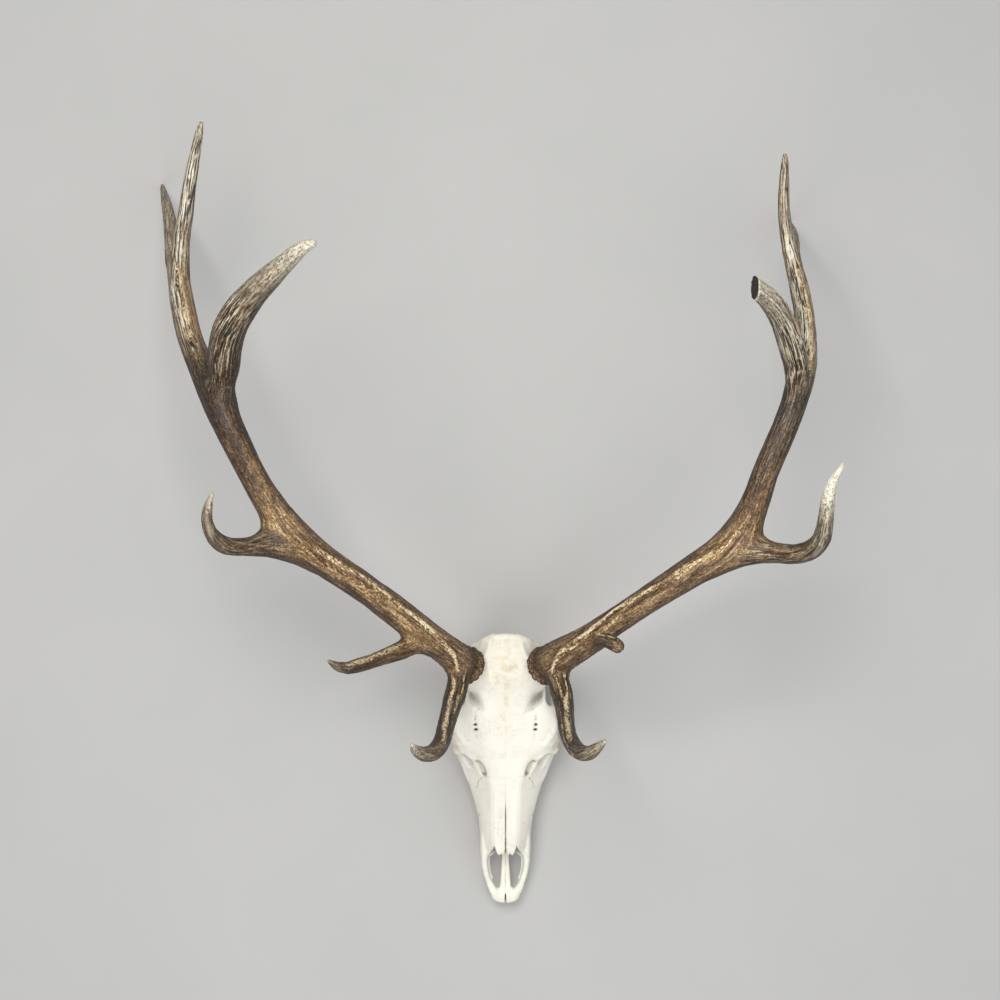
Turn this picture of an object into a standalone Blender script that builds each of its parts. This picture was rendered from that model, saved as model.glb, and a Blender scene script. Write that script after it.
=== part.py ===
"""Skull of a bull elk with its antlers, laid face up with the palate level.

The pieces are the cranium, the nasal bones, the premaxillae, the upper cheek
teeth and the antlers, each antler parted at its main forks. Lists of places
are in millimetres in the skull's own frame: x to the picture's right from the
midline, y from the nose tip to the nape, z up from the surface it lies on.
"""

import math

import bmesh
import bpy
import numpy as np
from mathutils import Matrix, Vector

MM = 0.001

# Driving sizes, millimetres
GAP = 0.3                 # clearance between pieces that touch
MIDLINE_X = 50.0          # skull midline, from the middle of the whole object's box
NOSE_TIP_Y = -617.5       # nose tip, from the middle of the whole object's box
PREMAXILLA_BACK = 106.0   # plane where the premaxillae meet the maxillae
TOOTH_HEIGHT = 19.7       # cheek tooth crowns, from the surface to the bone
NASAL_THICKNESS = 5.0
BURR_RADIUS = 25.5        # middle of the burr's rim
BURR_THICKNESS = 6.5      # half the thickness of the rim
BURR_LUMPS = 13
BEAM_STEP = 33.0          # spacing of the rings along a beam
TINE_STEP = 28.0          # spacing of the rings along a tine
VOXEL = 2.4               # cell of the blend that fuses the cranium's forms
CRANIUM_SHARE = 0.0265     # share of the blended faces that the cranium keeps

# Cross-sections of the cranium, half of each from the roof midline down to the
# palate midline: roof, roof edge, upper side, side, cheek, lower side, tooth
# ridge, palate edge, palate.
SECTIONS = {
    100.0: [(0, 82), (17, 81), (25, 74), (33, 63), (39, 50), (41, 39), (37, 27), (26, 22), (0, 24)],
    140.0: [(0, 89), (19, 88), (28, 80), (37, 67), (43, 53), (44, 40), (40, 27), (28, 20), (0, 26)],
    175.0: [(0, 94), (20, 93), (30, 84), (41, 70), (51, 53), (52, 41), (46, 27), (30, 19), (0, 27)],
    210.0: [(0, 99), (22, 98), (34, 88), (47, 73), (61, 54), (63, 42), (50, 28), (32, 19), (0, 28)],
    242.0: [(0, 106), (27, 105), (45, 95), (62, 79), (75, 58), (76, 46), (53, 30), (33, 19), (0, 30)],
    268.0: [(0, 112), (34, 111), (62, 103), (81, 90), (86, 76), (78, 56), (50, 34), (29, 24), (0, 34)],
    305.0: [(0, 119), (38, 119), (66, 113), (81, 103), (84, 88), (76, 62), (44, 46), (25, 38), (0, 42)],
    335.0: [(0, 126), (36, 125), (58, 117), (72, 104), (76, 88), (68, 66), (42, 50), (26, 42), (0, 43)],
    360.0: [(0, 134), (36, 132), (50, 118), (54, 102), (53, 84), (50, 66), (40, 50), (26, 42), (0, 42)],
    390.0: [(0, 143), (36, 140), (51, 124), (55, 104), (56, 84), (54, 64), (42, 46), (26, 40), (0, 40)],
    418.0: [(0, 142), (35, 138), (48, 122), (54, 102), (57, 82), (54, 62), (44, 44), (26, 38), (0, 38)],
    440.0: [(0, 133), (34, 130), (45, 116), (51, 98), (54, 80), (50, 60), (40, 44), (24, 40), (0, 42)],
    451.0: [(0, 122), (30, 119), (40, 107), (44, 94), (46, 80), (42, 62), (31, 50), (18, 46), (0, 48)],
}
RING_POINTS = 20          # points along half a cross-section
RINGS = 40                # rings along the cranium

# Forms of the right half that the cranium's blend adds, as x, y, z, radius.
ZYGOMATIC_ARCH = [(66, 256, 52, 10), (77, 278, 52, 8.5), (81, 305, 50, 8), (80, 335, 50, 7),
                  (76, 362, 51, 6.5), (68, 386, 53, 8), (52, 406, 58, 10)]
POSTORBITAL_BAR = [(66, 324, 108, 8), (76, 337, 92, 6.5), (80, 340, 74, 5.5), (80, 336, 56, 6)]
ORBIT_RIM = [(62, 272, 106, 6), (78, 276, 96, 6), (84, 278, 80, 6), (80, 282, 64, 6.5), (80, 300, 55, 6)]
BROW_RIM = [(62, 272, 106, 6), (74, 290, 109, 6), (78, 310, 108, 6), (66, 326, 110, 7)]
PEDICLE = [(38, 376, 112, 26), (49, 388, 128, 25), (59, 398, 145, 23.5), (69, 408, 164, 23)]
JUGULAR_PROCESS = [(40, 422, 54, 10), (41, 426, 34, 7.5), (39, 430, 15, 4), (38, 431, 8, 2)]
PTERYGOID = [(15, 256, 34, 5), (17, 278, 24, 4.5), (17, 300, 28, 4.5), (16, 322, 42, 6)]
NUCHAL_CREST = [(0, 443, 126, 6), (22, 442, 122, 6), (39, 437, 108, 6), (50, 430, 90, 6),
                (52, 422, 72, 7)]
CONDYLE = (20, 433, 54, 12, 14, 17)             # centre, then the three radii
AUDITORY_BULLA = (31, 396, 38, 12, 17, 13)

# The nape leans forward below the crest: a point of its plane, and the lean in degrees.
NAPE_POINT = (0, 446, 112)
NAPE_LEAN = 17.0

# Hollows of the right half, as centre and the three radii.
EYE_SOCKET = (84, 304, 82, 42, 27, 25)
TEMPORAL_FOSSA = (64, 362, 84, 10, 20, 34)
FACE_OPENING = (38, 236, 98, 5, 15, 16)
CHOANA = (0, 278, 26, 12, 30, 15)
FORAMEN_MAGNUM = [(0, 395, 76, 19), (0, 420, 68, 16), (0, 440, 62, 14), (0, 485, 60, 14)]
NASAL_CAVITY = [(0, 80, 52, 25, 20), (0, 110, 52, 24, 21), (0, 160, 56, 23, 23), (0, 215, 58, 20, 22),
                (0, 250, 50, 15, 16), (0, 272, 38, 11, 12)]

# Nasal bones: y, roof height, outer edge, and the drop of the outer edge.
NASAL_ROOF = [(90, 79.5, 15, 3), (98, 81.5, 19.5, 4), (115, 85, 22, 5), (150, 91, 21, 5),
              (185, 95.5, 21, 5), (220, 101, 21, 4), (246, 107.5, 17, 3), (260, 111, 6, 1)]
NASAL_FORK = (7.3, 2.0, 7.0)      # middle, half width, depth

# Premaxillae, right half: x, y, z, half width, half height.
PREMAXILLA_BAR = [(35.5, 108, 44, 6.5, 17), (34.8, 92, 41, 6.5, 14.5), (33.3, 74, 37.5, 5.3, 11),
                  (30.8, 55, 34.5, 4.7, 8.5), (25.6, 33, 32, 4.6, 7), (17, 17, 31, 6, 5)]
PALATINE_PROCESS = [(6, 14, 30, 7, 5), (4.5, 31, 29, 5.2, 4.6), (3.6, 58, 28, 4.4, 4), (3, 82, 27, 3.7, 3.6),
                    (2.8, 108, 26, 3.5, 3.2)]
PREMAXILLA_PLATE = (9, 15, 30.5, 17, 14.5, 6)

# Cheek teeth of the right half, front to back: x, y, half width, half length.
TEETH = [(33.5, 144, 6.6, 7.2), (35, 160.5, 7.6, 8), (36.5, 178.5, 8.6, 8.6), (38.5, 199.5, 9.8, 11.2),
         (40, 224.5, 10.4, 12.4), (39.5, 250.5, 10, 12.2)]

# Antler centrelines: x, y, z, radius. A tine starts on its beam's centreline.
LEFT = {
    "beam": [(-61, 400, 147, 25), (-74, 414, 173, 25.5), (-94, 433, 204, 23.5), (-126, 460, 238, 23.2),
             (-168, 497, 270, 22.8), (-218, 538, 310, 21.8), (-274, 580, 348, 23),
             (-318, 623, 378, 24.5), (-346, 665, 395, 21), (-366, 702, 406, 19.5),
             (-397, 766, 411, 21.4), (-417, 809, 403, 23), (-440, 854, 385, 20.3),
             (-463, 900, 358, 18.1), (-478, 945, 330, 18), (-491, 995, 292, 16.2),
             (-492, 1051, 275, 13), (-484, 1101, 277, 11.5), (-476, 1148, 285, 9.8),
             (-466, 1191, 295, 7.8), (-459, 1220, 302, 5.4), (-455, 1233, 306, 2)],
    "brow": [(-72, 410, 170, 20), (-75, 376, 196, 18.2), (-82, 353, 222, 15.2), (-87, 336, 258, 13.6),
             (-92, 318, 300, 13), (-96, 306, 338, 12.8), (-105, 298, 376, 12.4), (-118, 299, 408, 10.7),
             (-130, 309, 434, 6.8), (-134, 320, 452, 2)],
    "bez": [(-114, 450, 226, 20), (-137, 444, 238, 17), (-161, 436, 268, 14), (-188, 429, 315, 11.4),
            (-214, 424, 368, 10.5), (-231, 423, 405, 8.8), (-243, 429, 435, 6.1), (-252, 439, 462, 2)],
    "trez": [(-306, 607, 374, 25), (-342, 600, 394, 18), (-374, 598, 425, 13.3), (-397, 601, 458, 12.6),
             (-410, 615, 486, 10.5), (-414, 635, 510, 8), (-410, 654, 530, 6.4), (-400, 677, 550, 2)],
    "royal": [(-415, 805, 404, 21), (-404, 848, 430, 22.8), (-397, 881, 458, 23.4),
              (-383, 910, 490, 23), (-354, 940, 533, 20), (-318, 965, 580, 16), (-293, 981, 608, 12.2),
              (-274, 994, 628, 8.4), (-258, 1000, 642, 5), (-249, 1001, 650, 2)],
    "rear": [(-489, 985, 300, 13), (-504, 1022, 266, 13.2), (-518, 1069, 205, 11.6),
             (-538, 1120, 125, 9.6), (-556, 1158, 60, 6.9), (-571, 1186, 3, 3)],
}
RIGHT = {
    "beam": [(61, 400, 147, 25), (75, 413, 173, 28), (96, 429, 204, 25.5), (124, 449, 232, 22),
             (158, 475, 264, 20.5), (211, 515, 306, 20.4), (270, 557, 345, 22.9), (314, 589, 371, 24.8),
             (344, 626, 389, 24), (361, 666, 402, 20.2), (374, 707, 410, 18.8), (399, 766, 413, 18.5),
             (416, 809, 406, 19), (430, 854, 390, 19.6), (438, 892, 368, 16.4), (441, 940, 335, 15),
             (438, 988, 303, 13.8), (428, 1046, 280, 10.8), (421, 1100, 276, 9.2),
             (420, 1148, 283, 7.5), (420, 1174, 290, 5.1), (419, 1188, 294, 2)],
    "brow": [(73, 410, 170, 20), (80, 376, 196, 18.2), (87, 353, 222, 15.2), (90, 336, 258, 13.8),
             (93, 318, 300, 13.2), (97, 306, 338, 12.8), (106, 298, 374, 12.2), (119, 300, 405, 10.4),
             (131, 312, 430, 7.1), (141, 325, 452, 2)],
    "bez": [(92, 424, 200, 20), (116, 436, 222, 14.8), (136, 450, 250, 12), (150, 453, 280, 10.6),
            (160, 450, 308, 10.2), (168, 445, 330, 9.6)],
    "trez": [(316, 594, 372, 24), (357, 589, 388, 18), (387, 589, 408, 15.2), (411, 588, 438, 14.2),
             (430, 596, 468, 13.8), (439, 612, 494, 12.9), (440, 637, 518, 11), (440, 665, 536, 9.6),
             (444, 690, 550, 6.6), (457, 716, 565, 2)],
    "royal": [(417, 812, 405, 18), (413, 858, 430, 18.6), (403, 884, 454, 18.2), (384, 918, 488, 17.2),
              (362, 943, 520, 16), (342, 957, 540, 15.4), (322, 968, 558, 15)],
    "rear": [(438, 978, 309, 12), (445, 1010, 275, 12.6), (446, 1044, 215, 11), (457, 1078, 140, 9.2),
             (466, 1104, 70, 6.8), (471, 1128, 3, 3)],
}
# The right royal tine is broken off along a slanting plane: a point on it and the way it faces.
BREAK_POINT = (341, 956, 537)
BREAK_FACING = (-0.93, 0.05, 0.36)
# Station numbers where each antler's beam is parted, and where each tine leaves its root.
BEAM_CUTS = {"left": (8.6, 12.6), "right": (9.2, 13.7)}
TINE_CUTS = {
    "left": {"brow": 1.75, "bez": 1.8, "trez": 1.7, "royal": 2.35, "rear": 1.6},
    "right": {"brow": 1.75, "bez": 3.2, "trez": 1.4, "royal": 2.5, "rear": 1.5},
}

BONE = (0.83, 0.80, 0.72)
TOOTH_ENAMEL = (0.74, 0.69, 0.57)
ANTLER_BROWN = (0.27, 0.16, 0.08)
ANTLER_TAN = (0.42, 0.30, 0.18)


def clear_scene() -> None:
    """Removes every object that the file starts with."""
    for item in list(bpy.data.objects):
        bpy.data.objects.remove(item, do_unlink=True)


def make_material(name: str, colour: tuple, roughness: float) -> bpy.types.Material:
    """A plain surface of one colour."""
    material = bpy.data.materials.new(name)
    material.use_nodes = True
    surface = material.node_tree.nodes["Principled BSDF"]
    surface.inputs["Base Color"].default_value = (*colour, 1.0)
    surface.inputs["Roughness"].default_value = roughness
    surface.inputs["Metallic"].default_value = 0.0
    return material


def spline(points, start: float = 0.0, end: float | None = None, count: int = 12) -> np.ndarray:
    """Catmull-Rom curve through the points, read evenly between two station numbers."""
    knots = np.array(points, dtype=float)
    last = len(knots) - 1
    places = np.linspace(start, last if end is None else end, count)
    index = np.clip(np.floor(places).astype(int), 0, last - 1)
    t = (places - index)[:, None]
    padded = np.vstack([2 * knots[0] - knots[1], knots, 2 * knots[-1] - knots[-2]])
    a, b, c, d = padded[index], padded[index + 1], padded[index + 2], padded[index + 3]
    return 0.5 * (2 * b + (c - a) * t + (2 * a - 5 * b + 4 * c - d) * t**2 + (3 * b - a - 3 * c + d) * t**3)


def mirrored(points) -> list:
    """The same places on the other side of the midline."""
    return [(-place[0], *place[1:]) for place in points]


class Workshop:
    """Holds the collections, the frame that every piece hangs on, and the materials."""

    def __init__(self) -> None:
        self.parts = self.new_collection("elk_skull")
        self.cutters = self.new_collection("cutters")
        self.frame = bpy.data.objects.new("skull_frame", None)
        self.frame.location = (MIDLINE_X * MM, NOSE_TIP_Y * MM, 0.0)
        self.parts.objects.link(self.frame)
        self.bone = make_material("bleached_bone", BONE, 0.62)
        self.enamel = make_material("tooth_enamel", TOOTH_ENAMEL, 0.40)
        self.brown = make_material("antler_brown", ANTLER_BROWN, 0.48)
        self.tan = make_material("antler_tan", ANTLER_TAN, 0.45)

    @staticmethod
    def new_collection(name: str) -> bpy.types.Collection:
        """A collection linked to the scene."""
        collection = bpy.data.collections.new(name)
        bpy.context.scene.collection.children.link(collection)
        return collection

    def add(self, name: str, mesh: bpy.types.Mesh, material: bpy.types.Material) -> bpy.types.Object:
        """Places a finished piece."""
        piece = bpy.data.objects.new(name, mesh)
        self.parts.objects.link(piece)
        piece.parent = self.frame
        piece.data.materials.clear()
        piece.data.materials.append(material)
        return piece

    def add_tool(self, name: str, mesh: bpy.types.Mesh) -> bpy.types.Object:
        """Places a hidden solid that only cuts or joins."""
        tool = bpy.data.objects.new(name, mesh)
        self.cutters.objects.link(tool)
        tool.parent = self.frame
        tool.hide_render = True
        tool.display_type = "WIRE"
        return tool


def boolean(piece: bpy.types.Object, tool: bpy.types.Object, operation: str) -> None:
    """Joins a tool to a piece, or cuts it away."""
    step = piece.modifiers.new(f"{operation.lower()}_{tool.name}", "BOOLEAN")
    step.operation = operation
    step.object = tool


def mesh_from(name: str, shape: bmesh.types.BMesh) -> bpy.types.Mesh:
    """Turns an edited shape in millimetres into a mesh in metres."""
    bmesh.ops.scale(shape, vec=(MM, MM, MM), verts=shape.verts)
    bmesh.ops.recalc_face_normals(shape, faces=shape.faces)
    mesh = bpy.data.meshes.new(name)
    shape.to_mesh(mesh)
    shape.free()
    return mesh


def add_rings(shape: bmesh.types.BMesh, rings: np.ndarray) -> None:
    """Adds a closed loft through rings of equal point count, with flat ends."""
    loops = [[shape.verts.new(point) for point in ring] for ring in rings]
    size = len(loops[0])
    for near, far in zip(loops, loops[1:]):
        for i in range(size):
            j = (i + 1) % size
            shape.faces.new((near[i], near[j], far[j], far[i]))
    shape.faces.new(loops[0])
    shape.faces.new(reversed(loops[-1]))


def loft(name: str, rings: np.ndarray) -> bpy.types.Mesh:
    """One closed loft as a mesh."""
    shape = bmesh.new()
    add_rings(shape, rings)
    return mesh_from(name, shape)


def swept_rings(samples: np.ndarray, sides: int = 12) -> np.ndarray:
    """Oval rings along a path of x, y, z, half width and half height.

    Each oval stands across the path: its width runs level and its height upright.
    """
    path = samples[:, :3]
    ahead = np.gradient(path, axis=0)
    ahead /= np.linalg.norm(ahead, axis=1, keepdims=True)
    level = np.cross(ahead, (0.0, 0.0, 1.0))
    level /= np.linalg.norm(level, axis=1, keepdims=True)
    upright = np.cross(level, ahead)
    angle = np.linspace(0, 2 * math.pi, sides, endpoint=False)
    wide = level[:, None] * samples[:, 3, None, None] * np.cos(angle)[None, :, None]
    high = upright[:, None] * samples[:, 4, None, None] * np.sin(angle)[None, :, None]
    return path[:, None] + wide + high


def tube_mesh(name: str, samples: np.ndarray, resolution: int = 3) -> bpy.types.Mesh:
    """Round tapered tube through samples of x, y, z and radius, made from a curve."""
    curve = bpy.data.curves.new(name, "CURVE")
    curve.dimensions = "3D"
    curve.bevel_depth = MM
    curve.bevel_resolution = resolution
    curve.use_fill_caps = True
    line = curve.splines.new("POLY")
    line.points.add(len(samples) - 1)
    for point, (x, y, z, radius) in zip(line.points, samples):
        point.co = (x * MM, y * MM, z * MM, 1.0)
        point.radius = radius
    holder = bpy.data.objects.new(name, curve)
    bpy.context.scene.collection.objects.link(holder)
    bpy.context.view_layer.update()
    evaluated = holder.evaluated_get(bpy.context.evaluated_depsgraph_get())
    mesh = bpy.data.meshes.new_from_object(evaluated)
    bpy.data.objects.remove(holder, do_unlink=True)
    bpy.data.curves.remove(curve)
    shape = bmesh.new()
    shape.from_mesh(mesh)
    bmesh.ops.remove_doubles(shape, verts=shape.verts, dist=0.01 * MM)
    bmesh.ops.recalc_face_normals(shape, faces=shape.faces)
    shape.to_mesh(mesh)
    shape.free()
    mesh.name = name
    return mesh


def ellipsoid_mesh(name: str, form: tuple, tilt: Matrix | None = None, segments: int = 16) -> bpy.types.Mesh:
    """An ellipsoid from its centre and three radii."""
    shape = bmesh.new()
    bmesh.ops.create_uvsphere(shape, u_segments=segments, v_segments=segments // 2, radius=1.0)
    place = Matrix.Translation(form[:3]) @ (tilt or Matrix.Identity(4)) @ Matrix.Diagonal((*form[3:], 1.0))
    bmesh.ops.transform(shape, matrix=place, verts=shape.verts)
    return mesh_from(name, shape)


def box_mesh(name: str, low: tuple, high: tuple, place: Matrix | None = None) -> bpy.types.Mesh:
    """A box between two corners, turned and moved by a matrix."""
    shape = bmesh.new()
    size = [b - a for a, b in zip(low, high)]
    middle = [(a + b) / 2 for a, b in zip(low, high)]
    bmesh.ops.create_cube(shape, size=1.0)
    fit = (place or Matrix.Identity(4)) @ Matrix.Translation(middle) @ Matrix.Diagonal((*size, 1.0))
    bmesh.ops.transform(shape, matrix=fit, verts=shape.verts)
    return mesh_from(name, shape)


def core_rings() -> np.ndarray:
    """The cranium's main form: a loft through the cross-sections, both halves."""
    stations = list(SECTIONS)
    halves = np.array([spline(SECTIONS[y], count=RING_POINTS) for y in stations])
    table = np.column_stack([stations, halves.reshape(len(stations), -1)])
    rows = spline(table, count=RINGS)
    half = rows[:, 1:].reshape(RINGS, RING_POINTS, 2)
    right = np.dstack([half[:, :, 0], np.repeat(rows[:, :1], RING_POINTS, axis=1), half[:, :, 1]])
    left = right[:, -2:0:-1] * (-1.0, 1.0, 1.0)
    return np.concatenate([right, left], axis=1)


def join_meshes(name: str, meshes: list) -> bpy.types.Mesh:
    """Puts several closed meshes into one, for the blend that fuses them."""
    shape = bmesh.new()
    for mesh in meshes:
        shape.from_mesh(mesh)
        bpy.data.meshes.remove(mesh)
    joined = bpy.data.meshes.new(name)
    shape.to_mesh(joined)
    shape.free()
    return joined


def cranium_forms() -> bpy.types.Mesh:
    """Core, arches, orbit rims, pedicles, condyles, bullae and processes, not yet fused."""
    core = core_rings()
    lean = math.tan(math.radians(NAPE_LEAN))
    nape = NAPE_POINT[1] - (NAPE_POINT[2] - core[:, :, 2]) * lean
    core[:, :, 1] = np.minimum(core[:, :, 1], nape)
    meshes = [loft("core", core)]
    tubes = [ZYGOMATIC_ARCH, POSTORBITAL_BAR, ORBIT_RIM, BROW_RIM, PEDICLE, JUGULAR_PROCESS, PTERYGOID,
             NUCHAL_CREST]
    for stations in tubes:
        for side in (stations, mirrored(stations)):
            meshes.append(tube_mesh("form", spline(side, count=4 * len(side)), resolution=4))
    for form in (CONDYLE, AUDITORY_BULLA):
        meshes.append(ellipsoid_mesh("form", form))
        meshes.append(ellipsoid_mesh("form", (-form[0], *form[1:])))
    return join_meshes("cranium", meshes)


def antler_base(side: dict) -> Matrix:
    """The plane between pedicle and antler: origin at its middle, z along the antler."""
    ends = spline(side["beam"], 0.0, 0.1, 2)[:, :3]
    along = Vector(ends[1] - ends[0]).normalized()
    return Matrix.Translation(side["beam"][0][:3]) @ along.to_track_quat("Z", "Y").to_matrix().to_4x4()


def nasal_rings(sign: int, grow: float = 0.0) -> np.ndarray:
    """Rings of one nasal bone: a thin plate with a rounded roof, thinner at its outer edge."""
    rows = spline(NASAL_ROOF, count=12)
    if grow:
        rows[0, 0] -= 20.0
        rows[-1, 0] += grow
    inner = GAP / 2 if not grow else 0.0
    rings = []
    for y, roof, edge, drop in rows:
        reach = edge + grow
        floor = roof - NASAL_THICKNESS - drop - grow
        lift = 12.0 if grow else 0.0
        outline = [(inner, roof + lift), (reach * 0.5, roof - drop * 0.3 + lift), (reach * 0.85, roof - drop * 0.75 + lift),
                   (reach, roof - drop - 1.5 + lift), (reach, floor), (inner, floor)]
        rings.append([(sign * x, y, z) for x, z in outline])
    return np.array(rings)


def build_cranium(shop: Workshop) -> None:
    """Fuses the forms, hollows them, and cuts the seats of the other pieces."""
    cranium = shop.add("cranium", cranium_forms(), shop.bone)
    blend = cranium.modifiers.new("fuse_forms", "REMESH")
    blend.mode = "VOXEL"
    blend.voxel_size = VOXEL * MM
    hollows = [("nasal_cavity", loft("nasal_cavity", swept_rings(spline(NASAL_CAVITY, count=16)))),
               ("foramen_magnum", tube_mesh("foramen_magnum", spline(FORAMEN_MAGNUM, count=8), 4)),
               ("choana", ellipsoid_mesh("choana", CHOANA))]
    for label, form in (("eye_socket", EYE_SOCKET), ("temporal_fossa", TEMPORAL_FOSSA),
                        ("face_opening", FACE_OPENING)):
        hollows.append((f"{label}_right", ellipsoid_mesh(label, form)))
        hollows.append((f"{label}_left", ellipsoid_mesh(label, (-form[0], *form[1:]))))
    for label, mesh in hollows:
        boolean(cranium, shop.add_tool(label, mesh), "DIFFERENCE")
    again = cranium.modifiers.new("round_edges", "REMESH")
    again.mode = "VOXEL"
    again.voxel_size = VOXEL * MM
    smooth = cranium.modifiers.new("smooth", "SMOOTH")
    smooth.factor = 0.5
    smooth.iterations = 3
    thin = cranium.modifiers.new("thin_faces", "DECIMATE")
    thin.ratio = CRANIUM_SHARE
    seats = [("premaxilla_seat", box_mesh("premaxilla_seat", (-60, 60, 0), (60, PREMAXILLA_BACK + GAP, 110)))]
    for label, side in (("left", LEFT), ("right", RIGHT)):
        seat = box_mesh("seat", (-45, -45, -GAP), (45, 45, 60), antler_base(side))
        seats.append((f"antler_seat_{label}", seat))
    ridge = TOOTH_HEIGHT + GAP
    for label, sign in (("left", -1), ("right", 1)):
        low, high = sorted((sign * 22, sign * 54))
        seats.append((f"tooth_seat_{label}", box_mesh("seat", (low, 130, -5), (high, 266, ridge))))
        seats.append((f"nasal_seat_{label}", loft("seat", nasal_rings(sign, 2 * GAP))))
    for label, mesh in seats:
        boolean(cranium, shop.add_tool(label, mesh), "DIFFERENCE")


def build_nasals(shop: Workshop) -> None:
    """The two long nasal bones, each with a forked tip."""
    for label, sign in (("left", -1), ("right", 1)):
        bone = shop.add(f"nasal_bone_{label}", loft("nasal", nasal_rings(sign)), shop.bone)
        middle, half_width, depth = NASAL_FORK
        low, high = sorted((sign * (middle - half_width), sign * (middle + half_width)))
        notch = box_mesh("notch", (low, 60, 60), (high, NASAL_ROOF[0][0] + depth, 100))
        boolean(bone, shop.add_tool(f"nasal_notch_{label}", notch), "DIFFERENCE")


def build_premaxillae(shop: Workshop) -> None:
    """The two premaxillae: an outer bar, a front plate and a process along the midline."""
    for label, sign in (("left", -1), ("right", 1)):
        turn = (lambda points: points) if sign > 0 else mirrored
        bar = swept_rings(spline(turn(PREMAXILLA_BAR), count=9), sides=8)
        process = swept_rings(spline(turn(PALATINE_PROCESS), count=6), sides=6)
        bone = shop.add(f"premaxilla_{label}", loft("premaxilla", bar), shop.bone)
        x, *rest = PREMAXILLA_PLATE
        for name, mesh in (("palatine_process", loft("process", process)),
                           ("front_plate", ellipsoid_mesh("plate", (sign * x, *rest), segments=12))):
            boolean(bone, shop.add_tool(f"{name}_{label}", mesh), "UNION")
        low, high = sorted((sign * 0.25, -sign * 30))
        trims = [("midline", box_mesh("trim", (low, -20, 0), (high, 140, 80))),
                 ("back", box_mesh("trim", (-60, PREMAXILLA_BACK, 0), (60, 140, 90)))]
        for name, mesh in trims:
            boolean(bone, shop.add_tool(f"{name}_trim_{label}", mesh), "DIFFERENCE")


def tooth_rings(x: float, y: float, wide: float, long: float) -> np.ndarray:
    """Rings of a cheek tooth: a rounded block, waisted between its two lobes on the cheek side."""
    angle = np.linspace(0, 2 * math.pi, 12, endpoint=False)
    across = np.sign(np.cos(angle)) * np.abs(np.cos(angle)) ** 0.6
    along = np.sign(np.sin(angle)) * np.abs(np.sin(angle)) ** 0.6
    waist = 1.0 - 0.14 * np.exp(-((along / 0.35) ** 2))
    rings = []
    for height, share in ((0.0, 0.86), (6.0, 1.0), (TOOTH_HEIGHT, 0.90)):
        ring = np.column_stack([x + wide * share * across * waist, y + long * share * along,
                                np.full(len(angle), height)])
        rings.append(ring)
    return np.array(rings)


def build_teeth(shop: Workshop) -> None:
    """Six upper cheek teeth on each side."""
    for label, sign in (("left", -1), ("right", 1)):
        for number, (x, y, wide, long) in enumerate(TEETH, start=1):
            rings = tooth_rings(sign * x, y, wide, long)
            shop.add(f"tooth_{label}_{number}", loft("tooth", rings), shop.enamel)


def stretch(stations, start: float, end: float, step: float) -> np.ndarray:
    """Samples of an antler piece, with a short straight run at each end so that its faces stand square."""
    fine = spline(stations, start, end, 200)
    length = np.linalg.norm(np.diff(fine[:, :3], axis=0), axis=1).sum()
    samples = spline(stations, start, end, max(4, round(length / step)))
    inner = samples[1:-1]
    lead = []
    for place, toward in ((start, 1), (end, -1)):
        here, ahead = spline(stations, place, place + toward * 0.02, 2)
        way = (ahead[:3] - here[:3]) / np.linalg.norm(ahead[:3] - here[:3])
        near, far = here.copy(), here.copy()
        near[:3] += way * GAP / 2
        far[:3] += way * 4.0
        lead.append((near, far))
    return np.vstack([lead[0][0], lead[0][1], inner, lead[1][1], lead[1][0]])


def burr_mesh(side: dict) -> bpy.types.Mesh:
    """The knobbly rim at the antler's base."""
    bpy.ops.mesh.primitive_torus_add(major_segments=2 * BURR_LUMPS, minor_segments=5,
                                     major_radius=BURR_RADIUS, minor_radius=BURR_THICKNESS)
    torus = bpy.context.active_object
    shape = bmesh.new()
    shape.from_mesh(torus.data)
    bpy.data.objects.remove(torus, do_unlink=True)
    for vertex in shape.verts:
        bearing = math.atan2(vertex.co.y, vertex.co.x)
        swell = 1.0 + 0.05 * math.cos(BURR_LUMPS * bearing)
        vertex.co.x *= swell
        vertex.co.y *= swell
    lift = Matrix.Translation((0, 0, BURR_THICKNESS + GAP))
    bmesh.ops.transform(shape, matrix=antler_base(side) @ lift, verts=shape.verts)
    return mesh_from("burr", shape)


def build_antler(shop: Workshop, label: str, side: dict) -> None:
    """One antler: three lengths of beam with the roots of their tines, and five tines."""
    first, second = BEAM_CUTS[label]
    last = len(side["beam"]) - 1
    cuts = TINE_CUTS[label]
    spans = {"beam_lower": (0.0, first, ("brow", "bez", "trez"), shop.brown),
             "beam_upper": (first, second, ("royal",), shop.brown),
             "crown_tine": (second, last, ("rear",), shop.tan)}
    for piece, (start, end, roots, material) in spans.items():
        samples = stretch(side["beam"], start, end, BEAM_STEP)
        beam = shop.add(f"{label}_{piece}", tube_mesh(piece, samples), material)
        for tine in roots:
            root = tube_mesh("root", stretch(side[tine], 0.0, cuts[tine], TINE_STEP))
            boolean(beam, shop.add_tool(f"{label}_{tine}_root", root), "UNION")
        if piece == "beam_lower":
            boolean(beam, shop.add_tool(f"{label}_burr", burr_mesh(side)), "UNION")
    for tine, cut in cuts.items():
        samples = stretch(side[tine], cut, len(side[tine]) - 1, TINE_STEP)
        shop.add(f"{label}_{tine}_tine", tube_mesh(tine, samples), shop.tan)


def break_royal(shop: Workshop) -> None:
    """Cuts the right royal tine off along its slanting break."""
    turn = Vector(BREAK_FACING).to_track_quat("Z", "Y").to_matrix().to_4x4()
    place = Matrix.Translation(BREAK_POINT) @ turn
    tool = shop.add_tool("royal_break", box_mesh("royal_break", (-40, -40, 0), (40, 40, 60), place))
    boolean(bpy.data.objects["right_royal_tine"], tool, "DIFFERENCE")


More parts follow.
